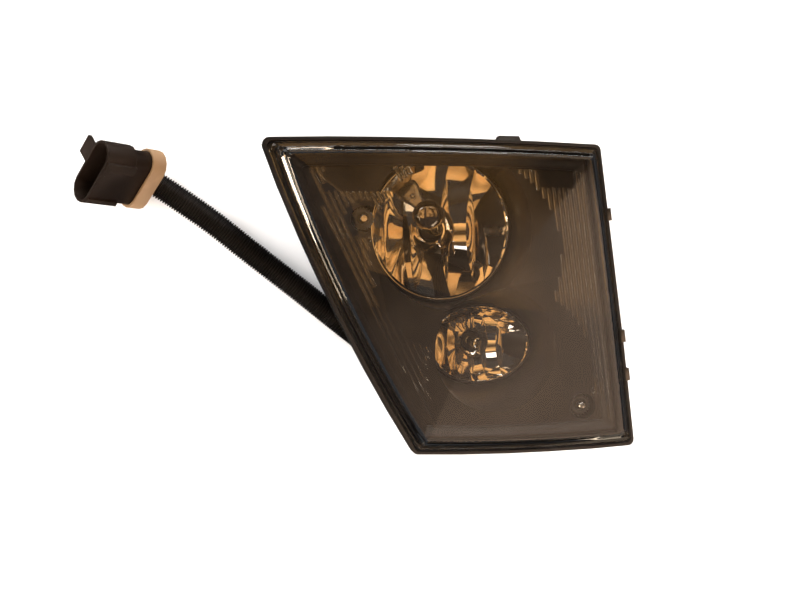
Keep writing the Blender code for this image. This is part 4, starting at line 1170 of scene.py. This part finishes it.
class BowlForm:
    """Sizes of a reflector, from its solid."""

    def __init__(self, node, focus, neck):
        low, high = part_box(node)
        self.at = ((low + high) / 2).xy
        self.focus = focus
        self.neck = neck
        self.wall = 0.0015
        self.across = (high.x - low.x) / 2 - self.wall
        upright = (high.y - low.y) / 2 - self.wall * (high.y - low.y) / (high.x - low.x)
        self.flat = upright / self.across
        self.rim = high.z
        self.apex = self.rim - self.across**2 / (4 * focus)

    def height(self, radius):
        return self.apex + radius**2 / (4 * self.focus)

    def ring(self, radius, z, flat):
        return round_ring(self.at, radius, z, BOWL_STEPS, flat)

    def rings(self):
        """Rings up the inside, over the lip, down the skirt and back under the bowl to its neck."""
        neck, wall, across, flat, rim = self.neck, self.wall, self.across, self.flat, self.rim
        inside, outside = [], []
        for i in range(BOWL_RINGS + 1):
            radius = neck + (across - neck) * i / BOWL_RINGS
            squash = 1 + (flat - 1) * (radius - neck) / (across - neck)
            inside.append(self.ring(radius, self.height(radius), squash))
            if i % 8 == 0:
                outside.append(self.ring(radius + 0.7 * wall, self.height(radius) - 0.9 * wall, squash))
        foot = across - 0.0055
        skirt = (
            (across + wall * 0.35, rim),
            (across + wall, rim - 0.0005),
            (across + wall, rim - 0.0030),
            (foot + wall, CARRIER_FACE),
            (foot, CARRIER_FACE),
            (across - 0.0002, rim - 0.0030),
        )
        skirt = [self.ring(radius, z, flat) for radius, z in skirt]
        necks = [self.ring(radius, self.apex - 0.0070, 1.0) for radius in (neck + 0.0020, neck)]
        return [*inside, *skirt, *outside[-2::-1], *necks]


def split_bowl(piece, at, strips, crease):
    """Cuts edges into the bowl along its strips and its crease."""
    lines = [((x, 0), (1, 0)) for x in strips]
    if crease:
        lines.append(crease)
    pick(piece)
    bpy.ops.object.mode_set(mode="EDIT")
    for point, normal in lines:
        bpy.ops.mesh.select_all(action="SELECT")
        bpy.ops.mesh.bisect(plane_co=(at.x + point[0], at.y + point[1], 0), plane_no=(*normal, 0))
    bpy.ops.object.mode_set(mode="OBJECT")


def lift_facets(piece, form, strips, crease):
    """Raises the middle of each strip, so that it is straight across, and folds the bowl at its crease."""
    bounds = sorted([-1.02 * form.across, *strips, 1.02 * form.across])
    shape = bmesh.new()
    shape.from_mesh(piece.data)
    for vertex in shape.verts:
        if not all(face.normal.z > 0.02 for face in vertex.link_faces):
            continue
        away = vertex.co.xy - form.at
        rise = (vertex.co.z - form.apex) / (form.rim - form.apex)
        fade = min(1.0, max(0.0, (0.985 - rise) / 0.03)) * min(1.0, max(0.0, (rise - 0.05) / 0.06))
        start = max(b for b in bounds if b <= away.x + 1e-6)
        end = min(b for b in bounds if b > away.x + 1e-6)
        lift = sizes().facet_flatness * (away.x - start) * (end - away.x) / (4 * form.focus)
        if crease:
            depth = (Vector(crease[0]) - away).dot(Vector(crease[1]))
            lift += CREASE_SLOPE * max(0.0, depth)
        vertex.co.z += lift * fade
    shape.to_mesh(piece.data)
    shape.free()


def bowl(name, node, focus, neck, strips, crease=None):
    """A reflector: a parabolic bowl in upright strips, with its lip, skirt and neck."""
    form = BowlForm(node, focus, neck)
    made = loft(name, form.rings(), ends="loop")
    split_bowl(made, form.at, strips, crease)
    lift_facets(made, form, strips, crease)
    finish(made, "reflectors", "chrome", MATERIALS["chrome"], node, smooth=12)


class LAMP_OT_reflectors(bpy.types.Operator):
    """Make the driving and the fog reflector with their upright facets"""

    bl_idname = "lamp.reflectors"
    bl_label = "Reflectors"

    def execute(self, context):
        main_strips = (-0.0450, -0.0260, 0.0080, 0.0290)
        crease = ((0.0000, -0.0190), (0.26, 0.97))
        bowl("driving_bowl", "main_reflector", 0.0220, 0.0110, main_strips, crease)
        fog_strips = (-0.0236, -0.0156, -0.0044, 0.0076, 0.0204)
        bowl("fog_bowl", "fog_reflector", 0.0160, 0.0095, fog_strips)
        return {"FINISHED"}


class LAMP_OT_shield(bpy.types.Operator):
    """Make the mirror cup in front of the driving bulb, its bracket and the rivet's head"""

    bl_idname = "lamp.shield"
    bl_label = "Glare Shield"

    def execute(self, context):
        low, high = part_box("glare_shield")
        rivet = middle_of("shield_rivet")
        radius, wall = 0.0125, 0.0009
        cup_at = Vector((high.x - radius, low.y + radius))
        rim = high.z - 0.0100
        dome = [(0.0006, high.z)]
        lining = [(0.0006, high.z - wall)]
        for step in range(1, 13):
            turn = math.radians(7.5 * step)
            dome.append((radius * math.sin(turn), high.z - 0.0060 * (1 - math.cos(turn))))
            lining.append(((radius - wall) * math.sin(turn), high.z - wall - 0.0055 * (1 - math.cos(turn))))
        lip = [(radius, rim + 0.0003), (radius - 0.0003, rim), (radius - wall, rim)]
        cup = turned("glare_cup", [*dome, *lip, *lining[::-1]], cup_at, steps=72)
        bracket = self.bracket(cup_at, rivet, radius, low.z, high.z)
        finish(cup, "reflectors", "dark_mirror", MATERIALS["cup"], "glare_shield", smooth=40)
        finish(bracket, "reflectors", "dark_mirror", MATERIALS["bracket"], smooth=30)
        at = (rivet.x, rivet.y)
        base = rivet.z - 0.0004
        profile = [(0.0026, base - 0.0006), (0.0026, base - 0.0001), (0.0022, base + 0.0005)]
        profile += [(0.0014, base + 0.0009), (0.0011, base + 0.0007), (0.0003, base + 0.0006)]
        head = turned("rivet_head", profile, at, steps=28)
        finish(head, "reflectors", "zinc", MATERIALS["zinc"], "shield_rivet", smooth=40)
        return {"FINISHED"}

    def bracket(self, cup_at, rivet, radius, foot, top):
        """A fan of sheet from the cup to the wall of the reflector, with a stiffening bead on each side."""
        out = (rivet.xy - cup_at).normalized()
        side = Vector((-out.y, out.x))
        level = top - 0.0085
        rings = []
        for reach, half, z in (
            (radius - 0.0015, 0.0052, level),
            (radius + 0.0020, 0.0058, level),
            (radius + 0.0070, 0.0082, level),
            (radius + 0.0120, 0.0098, level),
            (radius + 0.0150, 0.0100, level - 0.0004),
            (radius + 0.0172, 0.0096, level - 0.0018),
            (radius + 0.0182, 0.0088, foot),
        ):
            place = cup_at + out * reach
            section = []
            for share, bead in ((-1, 0), (-0.82, 0.0007), (-0.64, 0), (0.64, 0), (0.82, 0.0007), (1, 0)):
                section.append((share * half, z + bead))
            section += [(x, height - 0.0007) for x, height in section[::-1]]
            rings.append([Vector((*(place + side * x), height)) for x, height in section])
        return loft("shield_bracket", rings)


class LAMP_OT_bulbs(bpy.types.Operator):
    """Make the two bulbs: glass capsule, base and ring"""

    bl_idname = "lamp.bulbs"
    bl_label = "Bulbs"

    def execute(self, context):
        for name, body in (("main", "driving_bulb"), ("fog", "fog_bulb")):
            low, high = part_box(f"{name}_bulb_glass")
            at = (low + high) / 2
            radius = (high.x - low.x) / 2
            neck = 0.0036
            profile = [(neck, low.z), (neck, low.z + 0.0048)]
            profile += [(radius * 0.92, low.z + 0.0070), (radius, low.z + 0.0086)]
            for step in range(9):
                turn = math.radians(10 * step)
                height = high.z - 0.0010 - radius + radius * math.sin(turn)
                profile.append((radius * math.cos(turn), height))
            profile.append((0.0009, high.z - 0.0009))
            profile.append((0.0005, high.z))
            glass = turned(f"{name}_capsule", profile, at, steps=40)
            finish(glass, body, "bulb_glass", MATERIALS["bulb_glass"], f"{name}_bulb_glass", smooth=50)
            surface_of(f"{name}_bulb_base", "black_plastic", MATERIALS["case"], bevel=0.0003)
            surface_of(f"{name}_bulb_ring", "rubber", MATERIALS["rubber"], bevel=0, smooth=70)
        return {"FINISHED"}


class LAMP_OT_adjusters(bpy.types.Operator):
    """Make the two serrated ball nuts and the two adjuster screws"""

    bl_idname = "lamp.adjusters"
    bl_label = "Adjusters"

    def execute(self, context):
        for side in ("side", "low"):
            self.nut(side)
            self.screw(side)
        return {"FINISHED"}

    def toothed(self, at, radius, depth, z, teeth):
        ring = []
        for i in range(teeth * 4):
            turn = 2 * math.pi * i / (teeth * 4)
            reach = radius - (depth if i % 4 in (2, 3) else 0)
            ring.append(Vector((at.x + reach * math.cos(turn), at.y + reach * math.sin(turn), z)))
        return ring

    def nut(self, side):
        low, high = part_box(f"{side}_ball_nut")
        at = (low + high) / 2
        radius = (high.x - low.x) / 2
        bore = 0.0036
        teeth = 22
        rings = [self.toothed(at, bore + 0.0001, 0, low.z, teeth)]
        for share, z, depth in (
            (radius - 0.0014, low.z, 0),
            (radius - 0.0014, low.z + 0.0050, 0),
            (radius - 0.0002, low.z + 0.0058, 0.0007),
            (radius, low.z + 0.0064, 0.0009),
            (radius, high.z - 0.0014, 0.0009),
            (radius - 0.0006, high.z - 0.0006, 0.0006),
            (radius - 0.0022, high.z, 0),
            (radius - 0.0036, high.z - 0.0002, 0),
            (radius - 0.0042, high.z - 0.0020, 0),
            (bore, high.z - 0.0024, 0),
        ):
            rings.append(self.toothed(at, share, depth, z, teeth))
        nut = loft(f"{side}_nut", rings, ends="loop")
        finish(nut, "reflectors", "nylon", MATERIALS["nylon"], f"{side}_ball_nut", smooth=30)

    def screw(self, side):
        """Threads are cut as rings where the screw shows, and its head has a round recess."""
        low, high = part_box(f"{side}_adjuster_screw")
        at = (low + high) / 2
        head = (high.x - low.x) / 2
        radius = 0.0030
        pitch, depth, threaded = 0.0010, 0.00045, 0.0260
        tip = high.z
        profile = [(radius * 0.42, tip - 0.0012), (radius * 0.50, tip)]
        profile += [(radius * 0.78, tip), (radius, tip - 0.0007)]
        z = tip - 0.0010
        while z > tip - threaded:
            profile += [(radius, z), (radius - depth, z - pitch / 2)]
            z -= pitch
        head_top = low.z + 0.0060
        profile += [(radius, z), (radius, head_top), (head - 0.0006, head_top), (head, head_top - 0.0006)]
        profile += [(head, low.z + 0.0008), (head - 0.0008, low.z)]
        profile += [(0.0036, low.z), (0.0032, low.z + 0.0004), (0.0032, low.z + 0.0040)]
        screw = turned(f"{side}_screw", profile, at, steps=36)
        finish(screw, f"{side}_screw", "zinc", MATERIALS["zinc"], f"{side}_adjuster_screw", smooth=34)


class LAMP_OT_case(bpy.types.Operator):
    """Finish the case, its covers and all the fittings that are seen from outside"""

    bl_idname = "lamp.case"
    bl_label = "Case and Fittings"

    def execute(self, context):
        surfaces = [
            ("housing", "black_plastic", "case", 0.0003),
            ("housing_back", "black_plastic", "case", 0.0003),
            *((f"mount_boss_{i}", "black_plastic", "case", 0.0005) for i in range(1, 5)),
            ("lens_seal", "sealant", "sealant", 0.0005),
            *((f"lens_clip_{i}", "spring_steel", "spring", 0.0002) for i in range(1, 4)),
            ("main_cap", "black_plastic", "case", 0.0006),
            ("main_cap_seal", "rubber", "rubber", 0.0002),
            ("fog_cap", "black_plastic", "case", 0.0006),
            ("fog_cap_seal", "rubber", "rubber", 0.0002),
            *((f"mount_insert_{i}", "brass", "brass", 0.0003) for i in range(1, 5)),
            ("vent_cap", "rubber", "rubber", 0.0006),
            ("cable_gland", "rubber", "rubber", 0.0006),
            ("reflector_carrier", "grey_plastic", "grey", 0.0003),
        ]
        for node, slot, material, bevel in surfaces:
            surface_of(node, slot, MATERIALS[material], bevel)
        kept = (
            ("side_adjuster_bushing", "nylon"),
            ("low_adjuster_bushing", "nylon"),
            ("pivot_socket", "nylon"),
            ("pivot_stud", "zinc"),
            ("main_lead", "conduit"),
            ("fog_lead", "conduit"),
        )
        for lamp in ("main", "fog"):
            kept += tuple((f"{lamp}_reflector_screw_{i}", "zinc") for i in (1, 2, 3))
        for node, material in kept:
            coat(frame["nodes"][node], MATERIALS[material])
        return {"FINISHED"}


class LAMP_OT_plug(bpy.types.Operator):
    """Finish the plug: shell, rear lock, pins and the wires behind it"""

    bl_idname = "lamp.plug"
    bl_label = "Plug"

    def execute(self, context):
        shell = surface_of("connector_shell", "connector_plastic", MATERIALS["plug"], bevel=0.0004)
        shell.name = "plug_shell"
        lock = surface_of("connector_lock", "tan_plastic", MATERIALS["lock"], bevel=0.0005)
        lock.name = "plug_lock"
        surface_of("wire_bundle", "conduit_plastic", MATERIALS["conduit"], bevel=0, smooth=60)
        for i in range(1, 5):
            coat(frame["nodes"][f"connector_pin_{i}"], MATERIALS["tin"])
        return {"FINISHED"}


class LAMP_PT_panel(bpy.types.Panel):
    """Buttons for the lamp's pieces, in the sidebar"""

    bl_idname = "LAMP_PT_panel"
    bl_label = "Auxiliary Headlamp"
    bl_space_type = "VIEW_3D"
    bl_region_type = "UI"
    bl_category = "Lamp"

    def draw(self, context):
        for group in ("lamp_sizes", "lamp_colours", "lamp_stage"):
            box = self.layout.box()
            settings = getattr(context.scene, group)
            for name in settings.bl_rna.properties.keys():
                if name not in ("rna_type", "name"):
                    box.prop(settings, name)
        for operator in OPERATORS:
            self.layout.operator(operator.bl_idname)


OPERATORS = (
    LAMP_OT_stage,
    LAMP_OT_plug,
    LAMP_OT_conduit,
    LAMP_OT_case,
    LAMP_OT_bezel,
    LAMP_OT_reflectors,
    LAMP_OT_shield,
    LAMP_OT_bulbs,
    LAMP_OT_adjusters,
    LAMP_OT_lens,
    LAMP_OT_flutes,
)
CLASSES = (LampSizes, LampColours, StageSettings, *OPERATORS, LAMP_PT_panel)


def register():
    for item in CLASSES:
        bpy.utils.register_class(item)
    bpy.types.Scene.lamp_sizes = PointerProperty(type=LampSizes)
    bpy.types.Scene.lamp_colours = PointerProperty(type=LampColours)
    bpy.types.Scene.lamp_stage = PointerProperty(type=StageSettings)


def unregister():
    del bpy.types.Scene.lamp_stage
    del bpy.types.Scene.lamp_colours
    del bpy.types.Scene.lamp_sizes
    for item in reversed(CLASSES):
        bpy.utils.unregister_class(item)


def clear_startup():
    for name in ("Cube", "Light", "Camera"):
        if name in bpy.data.objects:
            bpy.data.objects.remove(bpy.data.objects[name])


def main():
    clear_startup()
    register()
    make_materials()
    for operator in OPERATORS:
        group, name = operator.bl_idname.split(".")
        getattr(getattr(bpy.ops, group), name)()
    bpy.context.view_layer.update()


if __name__ == "__main__":
    main()
